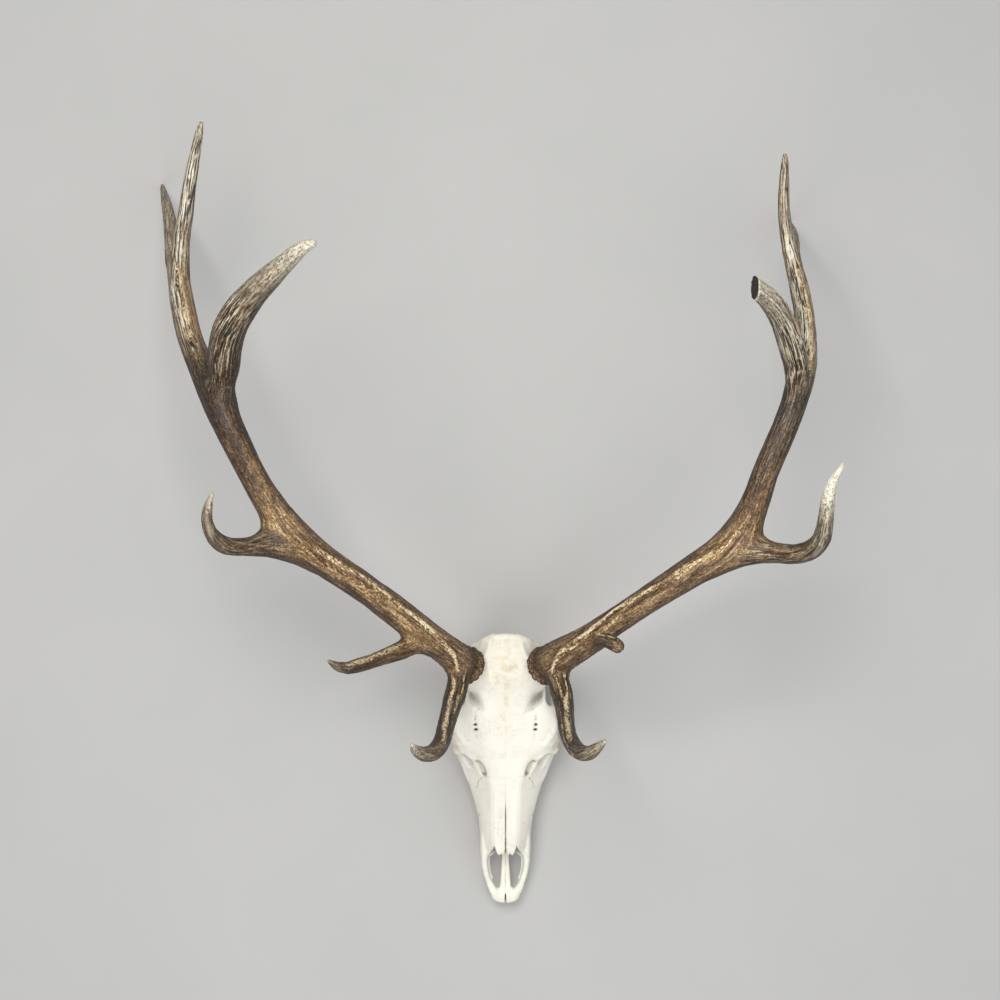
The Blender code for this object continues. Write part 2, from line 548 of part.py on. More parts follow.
def main() -> None:
    """Builds the whole skull."""
    clear_scene()
    shop = Workshop()
    build_cranium(shop)
    build_nasals(shop)
    build_premaxillae(shop)
    build_teeth(shop)
    build_antler(shop, "left", LEFT)
    build_antler(shop, "right", RIGHT)
    break_royal(shop)


main()
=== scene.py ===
"""The dressed elk skull: bleached bone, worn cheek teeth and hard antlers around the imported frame.

Every shape is worked out with numpy in the skull's own frame, in millimetres: x to the
right from the midline, y from the nose tip to the nape, z up from the surface it lies
on. Forms that grew into each other are joined by a voxel remesh, and are then drawn
onto the smooth field of their centrelines or relaxed, so that forks have rounded webs.
"""

import itertools
import logging
import math
from dataclasses import dataclass, field
from enum import Enum

import bmesh
import bpy
import numpy as np
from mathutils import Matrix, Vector


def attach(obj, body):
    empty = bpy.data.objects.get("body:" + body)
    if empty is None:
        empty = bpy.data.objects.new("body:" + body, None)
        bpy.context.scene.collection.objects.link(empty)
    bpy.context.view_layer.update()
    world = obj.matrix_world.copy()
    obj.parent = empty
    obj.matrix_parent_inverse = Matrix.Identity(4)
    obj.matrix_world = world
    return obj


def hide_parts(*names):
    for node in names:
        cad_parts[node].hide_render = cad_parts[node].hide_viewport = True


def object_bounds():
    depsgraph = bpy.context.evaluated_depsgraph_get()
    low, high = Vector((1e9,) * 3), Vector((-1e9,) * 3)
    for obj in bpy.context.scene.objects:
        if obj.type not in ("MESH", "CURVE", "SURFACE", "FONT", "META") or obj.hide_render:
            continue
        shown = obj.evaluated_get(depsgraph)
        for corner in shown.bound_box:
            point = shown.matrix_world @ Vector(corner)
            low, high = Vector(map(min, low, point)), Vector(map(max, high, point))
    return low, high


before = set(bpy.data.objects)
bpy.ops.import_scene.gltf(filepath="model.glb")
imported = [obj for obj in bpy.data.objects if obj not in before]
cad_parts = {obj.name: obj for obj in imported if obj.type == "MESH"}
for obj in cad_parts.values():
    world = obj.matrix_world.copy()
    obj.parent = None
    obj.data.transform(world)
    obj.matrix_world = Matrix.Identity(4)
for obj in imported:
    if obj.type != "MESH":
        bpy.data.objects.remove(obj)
CAD_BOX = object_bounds()

MM = 0.001
MIDLINE_X = 50.0
NOSE_TIP_Y = -617.5

log = logging.getLogger("elk_skull")

UPRIGHT = np.array([0.0, 0.0, 1.0])
HASH_FACTORS = (73856093, 19349663, 83492791)
HASH_SEED = 26544357
HASH_MIX = 1274126177

# What the material is told where no suture is near, and the size of a search for nearest points
NO_SEAM = 9.0
SEARCH_BATCH = 20000

# How far round a tube its field is worked out, the field's value beyond, and the rounding of joints
FIELD_REACH = 36.0
FIELD_BEYOND = 60.0
LEAST_WEB = 6.0
BURR_WEB = 4.0

# Shift between the tubes' straightened rods, so that no two tubes share a pattern
ROD_SPACING = 900.0


# Measures of the skull and of its antlers, in millimetres. A station is x, y, z and a radius,
# or x, y, z, a half width and a half height. An ellipsoid is its centre and three radii.

SECTIONS = {
    100.0: [(0, 82), (17, 81), (25, 74), (33, 63), (39, 50), (41, 39), (37, 27), (26, 22), (0, 24)],
    140.0: [(0, 89), (19, 88), (28, 80), (37, 67), (43, 53), (44, 40), (40, 27), (28, 20), (0, 26)],
    175.0: [(0, 94), (20, 93), (30, 84), (41, 70), (51, 53), (52, 41), (46, 27), (30, 19), (0, 27)],
    210.0: [(0, 99), (22, 98), (34, 88), (47, 73), (61, 54), (63, 42), (50, 28), (32, 19), (0, 28)],
    242.0: [(0, 106), (27, 105), (45, 95), (62, 79), (75, 58), (76, 46), (53, 30), (33, 19), (0, 30)],
    268.0: [(0, 112), (34, 111), (62, 103), (81, 90), (86, 76), (78, 56), (50, 34), (29, 24), (0, 34)],
    305.0: [(0, 119), (38, 119), (66, 113), (81, 103), (84, 88), (76, 62), (44, 46), (25, 38), (0, 42)],
    335.0: [(0, 126), (36, 125), (58, 117), (72, 104), (76, 88), (68, 66), (42, 50), (26, 42), (0, 43)],
    360.0: [(0, 134), (36, 132), (50, 118), (54, 102), (53, 84), (50, 66), (40, 50), (26, 42), (0, 42)],
    390.0: [(0, 143), (36, 140), (51, 124), (55, 104), (56, 84), (54, 64), (42, 46), (26, 40), (0, 40)],
    418.0: [(0, 142), (35, 138), (48, 122), (54, 102), (57, 82), (54, 62), (44, 44), (26, 38), (0, 38)],
    440.0: [(0, 133), (34, 130), (45, 116), (51, 98), (54, 80), (50, 60), (40, 44), (24, 40), (0, 42)],
    451.0: [(0, 122), (30, 119), (40, 107), (44, 94), (46, 80), (42, 62), (31, 50), (18, 46), (0, 48)],
}
ZYGOMATIC_ARCH = [(66, 256, 52, 10), (77, 278, 52, 8.5), (81, 305, 50, 8), (80, 335, 50, 7),
                  (76, 362, 51, 6.5), (68, 386, 53, 8), (52, 406, 58, 10)]
POSTORBITAL_BAR = [(64, 316, 108, 8), (77, 323, 92, 6.5), (81, 325, 74, 5.5), (81, 324, 56, 6)]
FRONTAL_EDGE = [(63, 314, 108, 8), (61, 330, 106, 8.5), (58.5, 347, 104, 9.5), (50, 370, 105, 12)]
TEAR_LEDGE = [(84, 263, 80, 4), (77, 256, 79, 6), (66, 253, 84, 7), (54, 251, 89, 7), (44, 246, 91, 6)]
ORBIT_RIM = [(60, 270, 100, 7), (76, 274, 92, 6.5), (83.5, 277, 79, 6), (80, 282, 64, 6.5), (80, 300, 55, 6)]
BROW_RIM = [(60, 270, 101, 7), (73, 288, 101, 7.5), (76, 306, 100, 7.5), (68, 322, 104, 8)]
PEDICLE = [(38, 376, 112, 26), (49, 388, 128, 25), (59, 398, 145, 23.5)]
JUGULAR_PROCESS = [(40, 422, 54, 10), (41, 426, 34, 7.5), (39, 430, 15, 4), (38, 431, 8, 2)]
PTERYGOID = [(15, 256, 34, 5), (17, 278, 24, 4.5), (17, 300, 28, 4.5), (16, 322, 42, 6)]
NUCHAL_CREST = [(0, 446.5, 125, 6.3), (14, 445.5, 124, 6), (26, 442, 119, 6), (38, 435, 107, 6),
                (46, 425, 90, 6), (50, 418, 72, 7)]
TEMPLE_RIDGE = [(400, 46), (409, 38), (418, 32), (428, 27.5), (440, 24.5), (448, 23)]
CREST_LIMIT = [(0, 452.8), (14, 451), (29, 447.6), (40, 441.5), (52, 428.5), (58, 421)]
FACIAL_CREST = [(46, 178, 42, 3), (53, 196, 44, 5), (60, 214, 48, 6.5), (66, 236, 51, 8)]
CONDYLE = (20, 433, 54, 12, 14, 17)
AUDITORY_BULLA = (31, 396, 38, 12, 17, 13)
NAPE_POINT = (0, 446, 112)
NAPE_LEAN = 17.0
EYE_SOCKET = (86, 303, 78, 43, 25, 19)
TEMPORAL_FOSSA = (70, 348, 80, 8.5, 19, 36)
TEAR_PIT = (70.5, 229, 85.5, 20, 26, 20)
FACE_OPENING = [(47, 245, 92, 3.6, 12), (42, 239, 90, 5.5, 14), (36.5, 229, 87, 5.5, 14),
                (33, 219, 84, 3, 12)]
FACE_SCROLLS = [[(47, 246, 84, 2), (44, 235, 84, 2.2), (40, 225, 82, 2.4), (38.5, 217, 79, 2.6)],
                [(41, 246, 83, 1.6), (37.5, 236, 82, 1.8), (34, 224, 79, 1.8)]]
CHOANA = (0, 278, 26, 12, 30, 15)
FORAMEN_MAGNUM = [(0, 395, 76, 19), (0, 420, 68, 16), (0, 440, 62, 14), (0, 485, 60, 14)]
NASAL_CAVITY = [(0, 80, 52, 25, 20), (0, 110, 52, 24, 21), (0, 160, 56, 23, 23), (0, 215, 58, 20, 22),
                (0, 250, 50, 15, 16), (0, 272, 38, 11, 12)]
NASAL_EDGE = [(88, 12.4), (91.5, 14.8), (98, 17), (106, 18.9), (120, 20.3), (150, 20.8), (185, 21), (220, 21),
              (246, 17), (260, 6)]
NASAL_TIP = [(0.0, 11.0), (0.14, 6.5), (0.28, 2.6), (0.38, 1.2), (0.47, 2.6), (0.56, 5.2), (0.63, 4.8),
             (0.72, 2.4), (0.85, 0.9), (0.94, 1.4), (1.0, 3.0)]
PREMAXILLA_BACK = 106.0
PREMAXILLA_BAR = [(35, 134, 48, 5, 15), (33.9, 112, 45, 7.8, 17.5), (33.4, 98, 43, 8.2, 16),
                  (34.2, 84, 40.5, 6.7, 13), (34.2, 66, 37, 5.4, 10), (31.4, 50, 34.5, 5, 8),
                  (27.6, 38, 33, 5.1, 7), (21.5, 24, 32, 6.6, 6.4), (14, 14, 31, 7.5, 5.6)]
NOSE_BORDER = [(80, 30.5, 0.52), (85, 28, 0.62), (90, 26, 0.73), (94, 23.6, 0.82), (99, 20.6, 0.91),
               (104, 18, 0.98), (110, 17.6, 1), (140, 18, 1)]
PREMAXILLA_SHELF = [(29.5, 104, 30, 4.5, 4), (28.6, 88, 28, 4, 2.6), (28.9, 68, 27.5, 3.5, 2.3),
                    (27, 52, 28.5, 3.2, 2.5), (23, 40, 30, 3.4, 3)]
PREMAXILLA_FLOOR = [(19, 116, 35, 13, 6), (19.5, 100, 33, 12, 4.5), (21, 92, 31, 9.5, 3.2),
                    (23.5, 85, 29.5, 6, 2.4), (27, 78, 29, 3, 1.8)]
PALATINE_PROCESS = [(5, 15, 30, 6, 5), (4.3, 29, 29.5, 4.8, 4.8), (3.4, 50, 28.5, 3.9, 4.4),
                    (2.9, 66, 28, 3.4, 4), (2.5, 80, 27, 3, 3.6), (2.5, 116, 26, 3, 3.2)]
PREMAXILLA_PLATE = (4.5, 13.7, 30.5, 19.3, 13.2, 6)
TEETH = [(33.5, 144, 6.6, 7.2), (35, 160.5, 7.6, 8), (36.5, 178.5, 8.6, 8.6), (38.5, 199.5, 9.8, 11.2),
         (40, 224.5, 10.4, 12.4), (39.5, 250.5, 10, 12.2)]
TOOTH_HEIGHT = 19.7
BURR_RADIUS = 25.5
BURR_THICKNESS = 6.5
BURR_LIFT = BURR_THICKNESS + 0.3
BURR_WAVES = ((0.5, 13, 0.0), (0.5, 8, 1.3), (0.4, 19, 0.4))

LEFT = {
    "beam": [(-61, 400, 147, 25), (-74, 414, 173, 25.5), (-94, 433, 204, 23.5), (-126, 460, 238, 23.2),
             (-168, 497, 270, 22.8), (-218, 538, 310, 21.8), (-274, 580, 348, 23),
             (-318, 623, 378, 24.5), (-346, 665, 395, 21), (-366, 702, 406, 19.5),
             (-397, 766, 411, 21.4), (-417, 809, 403, 23), (-440, 854, 385, 20.3),
             (-463, 900, 358, 18.1), (-478, 945, 330, 18), (-491, 995, 292, 16.2),
             (-492, 1051, 275, 13), (-484, 1101, 277, 11.5), (-476, 1148, 285, 9.8),
             (-466, 1191, 295, 7.8), (-459, 1220, 302, 5.4), (-455, 1233, 306, 2)],
    "brow": [(-72, 410, 170, 20), (-75, 376, 196, 18.2), (-82, 353, 222, 15.2), (-87, 336, 258, 13.6),
             (-92, 318, 300, 13), (-96, 306, 338, 12.8), (-105, 298, 376, 12.4), (-118, 299, 408, 10.7),
             (-130, 309, 434, 6.8), (-134, 320, 452, 2)],
    "bez": [(-114, 450, 226, 20), (-137, 444, 238, 17), (-161, 436, 268, 14), (-188, 429, 315, 11.4),
            (-214, 424, 368, 10.5), (-231, 423, 405, 8.8), (-243, 429, 435, 6.1), (-252, 439, 462, 2)],
    "trez": [(-290, 592, 360, 20), (-317, 597, 380, 21), (-345, 600, 396, 18), (-374, 598, 425, 13.3),
             (-397, 601, 458, 12.6), (-410, 615, 486, 10.5), (-414, 635, 510, 8), (-410, 654, 530, 6.4),
             (-400, 677, 550, 2)],
    "royal": [(-415, 805, 404, 21), (-404, 848, 430, 22.8), (-397, 881, 458, 23.4),
              (-383, 910, 490, 23), (-354, 940, 533, 20), (-318, 965, 580, 16), (-293, 981, 608, 12.8),
              (-274, 994, 628, 10.2), (-258, 1000, 641, 6.8), (-249, 1001, 648, 2.8)],
    "rear": [(-489, 985, 300, 13), (-504, 1022, 266, 13.2), (-518, 1069, 205, 11.6),
             (-538, 1120, 125, 9.6), (-556, 1158, 60, 6.9), (-571, 1186, 3, 3.6), (-573, 1189.5, -6, 2.5)],
}
RIGHT = {
    "beam": [(61, 400, 147, 25), (75, 413, 173, 28), (96, 429, 204, 25.5), (124, 449, 232, 22),
             (158, 475, 264, 20.5), (211, 515, 306, 20.4), (270, 557, 345, 22.9), (314, 589, 371, 24.8),
             (344, 626, 389, 24), (361, 666, 402, 20.2), (374, 707, 410, 18.8), (399, 766, 413, 18.5),
             (416, 809, 406, 19), (430, 854, 390, 19.6), (438, 892, 368, 16.4), (441, 940, 335, 15),
             (438, 988, 303, 13.8), (428, 1046, 280, 10.8), (421, 1100, 276, 9.2),
             (420, 1148, 283, 7.5), (420, 1174, 290, 5.1), (419, 1188, 294, 2)],
    "brow": [(75, 410, 170, 20), (84, 376, 196, 18.2), (89.3, 353, 222, 15.2), (90.5, 336, 258, 13.2),
             (92.2, 318, 300, 12.6), (97, 306, 338, 12.4), (106, 298, 374, 12.2), (119, 300, 405, 10.4),
             (131, 312, 430, 7.1), (141, 325, 452, 2)],
    "bez": [(92, 424, 200, 20), (116, 436, 222, 14.8), (136, 450, 250, 12), (150, 453, 280, 10.6),
            (161, 450, 308, 10.6), (170, 445, 330, 10.2)],
    "trez": [(302, 585, 364, 20), (331, 590, 379, 21), (359, 590, 390, 18), (387, 589, 408, 15.2),
             (411, 588, 438, 14.2), (430, 596, 468, 13.8), (439, 612, 494, 12.9), (440, 637, 518, 11),
             (440, 665, 536, 9.6), (444, 690, 550, 6.6), (457, 716, 565, 2)],
    "royal": [(417, 812, 405, 18), (413, 858, 430, 18.6), (403, 884, 454, 18.2), (384, 918, 488, 17.2),
              (361, 942, 520, 15), (340, 954.5, 540, 13.6), (320, 965, 558, 13.2)],
    "rear": [(438, 978, 309, 12), (440, 1010, 275, 11), (445, 1044, 215, 10.4), (457, 1078, 140, 9.2),
             (466, 1104, 70, 6.8), (471, 1128, 3, 3.6), (471.6, 1131, -6, 2.5)],
}
BREAK_POINT = (338, 955, 540)
BREAK_FACING = (-0.965, -0.06, 0.21)
BLUNT_END = 9.0


class Side(Enum):
    """The two sides of the skull, each with the sign of its x."""

    LEFT = -1
    RIGHT = 1

    @property
    def label(self) -> str:
        """The side as pieces and nodes name it."""
        return self.name.lower()


# Numbers on arrays

def catmull(stations: np.ndarray, places: np.ndarray) -> np.ndarray:
    """Catmull-Rom curve through the stations, read at station numbers.

    Each span is a cubic of the four stations round it, whose slope at a station is half
    the step from the one before to the one after.

    Args:
        stations: one row of values per station.
        places: station numbers, whole or between.

    Returns:
        One row of values per place.
    """
    knots = np.asarray(stations, float)
    last = len(knots) - 1
    index = np.clip(np.floor(places).astype(int), 0, last - 1)
    t = (places - index)[:, None]
    padded = np.vstack([2 * knots[0] - knots[1], knots, 2 * knots[-1] - knots[-2]])
    a, b, c, d = (padded[index + k] for k in range(4))
    return 0.5 * (2 * b + (c - a) * t + (2 * a - 5 * b + 4 * c - d) * t**2 + (3 * b - a - 3 * c + d) * t**3)


def spline(stations: list, count: int) -> np.ndarray:
    """The whole Catmull-Rom curve, read evenly by station number."""
    return catmull(stations, np.linspace(0, len(stations) - 1, count))


def unit(vectors: np.ndarray) -> np.ndarray:
    """Vectors of length one."""
    return vectors / np.maximum(np.linalg.norm(vectors, axis=-1, keepdims=True), 1e-9)


def smoothstep(values: np.ndarray, low: float, high: float) -> np.ndarray:
    """0 below low, 1 above high, and 3t² - 2t³ between."""
    t = np.clip((values - low) / (high - low), 0, 1)
    return t * t * (3 - 2 * t)


def falling(values: np.ndarray, low: float, high: float) -> np.ndarray:
    """1 below low, 0 above high, and smooth between."""
    return 1 - smoothstep(values, low, high)


def bell(distance: np.ndarray, width: float) -> np.ndarray:
    """Bell curve: e to the power of minus the square of distance over width."""
    return np.exp(-((distance / width) ** 2))


def read(table: list, places: np.ndarray) -> np.ndarray:
    """Values of a table of (place, value) rows, straight between them."""
    return np.interp(places, *zip(*table))


def turn(count: int) -> np.ndarray:
    """Bearings evenly round a full circle."""
    return np.linspace(0, 2 * math.pi, count, endpoint=False)


def signed_power(values: np.ndarray, power: float) -> np.ndarray:
    """The size of each value to a power, with the value's sign."""
    return np.sign(values) * np.abs(values) ** power


def lattice(cells: np.ndarray, seed: int) -> np.ndarray:
    """A repeatable number from 0 to 1 for each whole-number cell, from a hash of its three indices.

    Args:
        cells: whole-number cells, with three indices on the last axis.
        seed: which set of numbers.

    Returns:
        One number per cell.
    """
    first, second, third = (cells[..., k].astype(np.int64) * HASH_FACTORS[k] for k in range(3))
    mixed = first ^ second ^ third ^ seed * HASH_SEED
    mixed = (mixed ^ mixed >> 13) * HASH_MIX & 0xFFFFFFFF
    return ((mixed ^ mixed >> 16) & 0xFFFFFF) / 0xFFFFFF


def noise(places: np.ndarray, size: float | tuple, seed: int) -> np.ndarray:
    """Smooth noise from -1 to 1.

    The eight corners of each cell have random values, mixed by the smoothed place in the cell.

    Args:
        places: points, in millimetres.
        size: cell size, one number or one per axis.
        seed: which noise.

    Returns:
        One value per point.
    """
    grid = places / np.asarray(size, float)
    cell = np.floor(grid)
    t = grid - cell
    t = t * t * (3 - 2 * t)
    total = np.zeros(len(places))
    for corner in itertools.product((0, 1), repeat=3):
        weight = np.prod(np.where(corner, t, 1 - t), axis=1)
        total += weight * lattice(cell + corner, seed)
    return 2 * total - 1


def layered(places: np.ndarray, size: float, seed: int, layers: int = 3) -> np.ndarray:
    """Noise summed over layers, each of half the size and half the height of the one before."""
    return sum(noise(places, size / 2**k, seed + k) / 2**k for k in range(layers))


def pearls(places: np.ndarray, size: float, seed: int) -> np.ndarray:
    """Rounded grains: 1 minus the squared distance to the nearest random point, one in each cell.

    Args:
        places: points, in millimetres.
        size: cell size.
        seed: which grains.

    Returns:
        One value from 0 to 1 per point.
    """
    grid = places / size
    cell = np.floor(grid)
    nearest = np.full(len(places), 9.0)
    for step in itertools.product((-1, 0, 1), repeat=3):
        there = cell + step
        point = there + np.stack([lattice(there, seed + k) for k in range(3)], axis=1) * 0.8 + 0.1
        nearest = np.minimum(nearest, ((grid - point) ** 2).sum(1))
    return np.clip(1 - nearest / 0.45, 0, 1)


# Meshes

@dataclass
class Shell:
    """Vertices and faces of one or more closed surfaces, in the skull's frame."""

    vertices: np.ndarray
    faces: list

    def mirrored(self) -> "Shell":
        """The same shell across the midline, with its faces turned to point outwards."""
        return Shell(self.vertices * (-1, 1, 1), [face[:, ::-1] for face in self.faces])

    @staticmethod
    def joined(shells: list["Shell"]) -> "Shell":
        """Several shells in one.

        Args:
            shells: the shells.

        Returns:
            One shell with all their faces.
        """
        offsets = np.cumsum([0] + [len(shell.vertices) for shell in shells])
        faces = [face + offset for shell, offset in zip(shells, offsets) for face in shell.faces]
        return Shell(np.vstack([shell.vertices for shell in shells]), faces)

    def mesh(self, name: str) -> bpy.types.Mesh:
        """The shell as a mesh in metres, at its place in the frame.

        Args:
            name: the mesh's name.

        Returns:
            The new mesh.
        """
        mesh = bpy.data.meshes.new(name)
        rows = [row for face in self.faces for row in face.tolist()]
        mesh.from_pydata(to_frame(self.vertices).tolist(), [], rows)
        mesh.validate()
        mesh.update()
        return mesh


def to_frame(places: np.ndarray) -> np.ndarray:
    """From the skull's frame in millimetres to the row frame in metres."""
    return (places + (MIDLINE_X, NOSE_TIP_Y, 0.0)) * MM


def ring_shell(rings: np.ndarray) -> Shell:
    """A closed loft through rings of equal size, with a fan at each end.

    Args:
        rings: rings × points × 3. The last point of a ring joins its first.

    Returns:
        The lofted shell.
    """
    count, size = rings.shape[:2]
    grid = np.arange(count * size).reshape(count, size)
    across = np.roll(grid, -1, axis=1)
    quads = np.stack([grid[:-1], across[:-1], across[1:], grid[1:]], axis=-1).reshape(-1, 4)
    middles = np.array([count * size, count * size + 1])
    start = np.stack([np.full(size, middles[0]), across[0], grid[0]], axis=1)
    end = np.stack([np.full(size, middles[1]), grid[-1], across[-1]], axis=1)
    vertices = np.vstack([rings.reshape(-1, 3), rings[0].mean(0), rings[-1].mean(0)])
    shell = Shell(vertices, [quads, np.vstack([start, end])])
    corners = vertices[quads]
    normals = np.cross(corners[:, 2] - corners[:, 0], corners[:, 3] - corners[:, 1])
    if ((corners.mean(1) - vertices.mean(0)) * normals).sum() < 0:
        shell.faces = [face[:, ::-1] for face in shell.faces]
    return shell


def ellipsoid(form: tuple, around: int = 40, rings: int = 20) -> Shell:
    """An ellipsoid: centre plus three radii times (sin v cos u, sin v sin u, cos v).

    Args:
        form: x, y and z of its centre, then its three radii.
        around: points round each ring.
        rings: rings from top to bottom.

    Returns:
        The closed shell.
    """
    u = turn(around)
    v = np.linspace(0.04, math.pi - 0.04, rings)[:, None]
    grid = np.stack([np.sin(v) * np.cos(u), np.sin(v) * np.sin(u), np.cos(v) + 0 * u], axis=-1)
    return ring_shell(grid * np.array(form[3:]) + np.array(form[:3]))


def oval_sweep(stations: list, count: int, sides: int = 24, power: float = 1.0) -> Shell:
    """Ovals carried along a path.

    Each oval stands across the path, its width level and its height upright.

    Args:
        stations: x, y, z, half width and half height at each station.
        count: ovals along the path.
        sides: points round each oval.
        power: under 1 it squares the oval off.

    Returns:
        The closed shell.
    """
    samples = spline(stations, count)
    path = samples[:, :3]
    ahead = unit(np.gradient(path, axis=0))
    level = unit(np.cross(ahead, UPRIGHT))
    upright = np.cross(level, ahead)
    cosine, sine = signed_power(np.cos(turn(sides)), power), signed_power(np.sin(turn(sides)), power)
    wide = level[:, None] * samples[:, 3, None, None] * cosine[None, :, None]
    high = upright[:, None] * samples[:, 4, None, None] * sine[None, :, None]
    return ring_shell(path[:, None] + wide + high)


class Skin:
    """A remeshed surface held as arrays while it is shaped."""

    def __init__(self, mesh: bpy.types.Mesh) -> None:
        """Takes a mesh in the row frame and keeps its places in the skull's frame.

        Args:
            mesh: the mesh to shape, which store() writes back to.
        """
        self.mesh = mesh
        count = len(mesh.vertices)
        flat = np.empty(count * 3, np.float32)
        mesh.vertices.foreach_get("co", flat)
        self.places = flat.reshape(-1, 3).astype(float) / MM - (MIDLINE_X, NOSE_TIP_Y, 0.0)
        edges = np.empty(len(mesh.edges) * 2, np.int32)
        mesh.edges.foreach_get("vertices", edges)
        self.near, self.far = edges.reshape(-1, 2).T
        self.degree = np.bincount(self.near, minlength=count) + np.bincount(self.far, minlength=count)

    def average(self, values: np.ndarray) -> np.ndarray:
        """The mean of the neighbours of each vertex, for a vector or a number per vertex.

        Args:
            values: a vector or a number per vertex.

        Returns:
            The means, in the same form.
        """
        columns = values if values.ndim == 2 else values[:, None]
        count = len(columns)
        total = np.stack([np.bincount(self.near, columns[self.far, k], count)
                          + np.bincount(self.far, columns[self.near, k], count)
                          for k in range(columns.shape[1])], axis=1)
        mean = total / np.maximum(self.degree, 1)[:, None]
        return mean if values.ndim == 2 else mean[:, 0]

    def relax(self, times: int, strength: float | np.ndarray = 0.5) -> None:
        """Moves each vertex towards the mean of its neighbours, again and again."""
        for _ in range(times):
            self.places = self.places + (self.average(self.places) - self.places) * strength

    def spread(self, values: np.ndarray, times: int) -> np.ndarray:
        """Values smoothed over the surface.

        Args:
            values: a vector or a number per vertex.
            times: rounds of smoothing.

        Returns:
            The smoothed values.
        """
        for _ in range(times):
            values = 0.5 * values + 0.5 * self.average(values)
        return values

    def store(self) -> None:
        """Writes the places into the mesh."""
        self.mesh.vertices.foreach_set("co", to_frame(self.places).astype(np.float32).ravel())
        self.mesh.update()

    def normals(self) -> np.ndarray:
        """Outward normals of the vertices.

        Returns:
            One vector of length one per vertex.
        """
        self.store()
        flat = np.empty(len(self.places) * 3, np.float32)
        self.mesh.vertex_normals.foreach_get("vector", flat)
        return flat.reshape(-1, 3).astype(float)

    def hollow(self, times: int) -> np.ndarray:
        """How far, in millimetres, the surface lies under its own smoothed form: above 0 in a hollow."""
        smooth = self.spread(self.places, times)
        return ((smooth - self.places) * self.normals()).sum(1)

    def attribute(self, name: str, values: np.ndarray) -> None:
        """Stores a number or a vector per vertex for the materials.

        Args:
            name: what the material reads it by.
            values: a number or a vector per vertex.
        """
        vector = values.ndim == 2
        layer = self.mesh.attributes.new(name, "FLOAT_VECTOR" if vector else "FLOAT", "POINT")
        layer.data.foreach_set("vector" if vector else "value", values.astype(np.float32).ravel())


def fused(name: str, shell: Shell, voxel: float) -> bpy.types.Mesh:
    """One skin over shells that overlap, by a voxel remesh of the given cell size in millimetres."""
    return stepped(shell.mesh(name), voxel)


def stepped(mesh: bpy.types.Mesh, *steps: float | bpy.types.Mesh) -> bpy.types.Mesh:
    """The mesh after modifiers in order.

    Args:
        mesh: the mesh to start from.
        steps: a number remeshes with voxels of that size in millimetres, a mesh is taken away.

    Returns:
        The finished mesh, under the same name.
    """
    holders = [bpy.data.objects.new(mesh.name, mesh)]
    for step in steps:
        if isinstance(step, bpy.types.Mesh):
            holders.append(bpy.data.objects.new("hollow", step))
            cut = holders[0].modifiers.new("hollow", "BOOLEAN")
            cut.operation, cut.object, cut.solver = "DIFFERENCE", holders[-1], "EXACT"
        else:
            voxels = holders[0].modifiers.new("voxels", "REMESH")
            voxels.mode, voxels.voxel_size = "VOXEL", step * MM
    for holder in holders:
        bpy.context.scene.collection.objects.link(holder)
    bpy.context.view_layer.update()
    done = bpy.data.meshes.new_from_object(holders[0].evaluated_get(bpy.context.evaluated_depsgraph_get()))
    done.name = mesh.name
    for holder in holders:
        bpy.data.objects.remove(holder, do_unlink=True)
    return done


def merged(name: str, *meshes: bpy.types.Mesh) -> bpy.types.Mesh:
    """Several meshes as one.

    Args:
        name: the new mesh's name.
        meshes: the meshes to put together.

    Returns:
        The new mesh.
    """
    work = bmesh.new()
    for mesh in meshes:
        work.from_mesh(mesh)
    whole = bpy.data.meshes.new(name)
    work.to_mesh(whole)
    work.free()
    return whole


def plain_bone(skin: Skin, **values: np.ndarray) -> None:
    """Stores all that the bone material reads on a piece without sutures.

    Args:
        skin: the piece's skin.
        values: the numbers per vertex that aren't plain.
    """
    zero = np.zeros(len(skin.places))
    far = {"seam_across": zero + NO_SEAM, "seam_along": zero + NO_SEAM}
    for name, held in {"hollow": zero, "stain": zero, "rose": zero, "pit": zero, **far, **values}.items():
        skin.attribute(name, held)


def show(name: str, mesh: bpy.types.Mesh, finish: bpy.types.Material, slot: str,
         *nodes: str) -> bpy.types.Object:
    """Puts a finished piece into the scene in place of its CAD nodes.

    Args:
        name: the piece's name.
        mesh: its mesh, in the row frame.
        finish: its material.
        slot: the name of a material slot in the record; not used.
        nodes: the CAD nodes that it stands for.

    Returns:
        The new object.
    """
    mesh.name = name
    mesh.materials.clear()
    mesh.materials.append(finish)
    mesh.shade_smooth()
    piece = bpy.data.objects.new(name, mesh)
    bpy.context.scene.collection.objects.link(piece)
    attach(piece, "root")
    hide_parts(*nodes)
    log.info("%s: %d faces, stands for %s", name, len(mesh.polygons), ", ".join(nodes))
    return piece


# Node materials

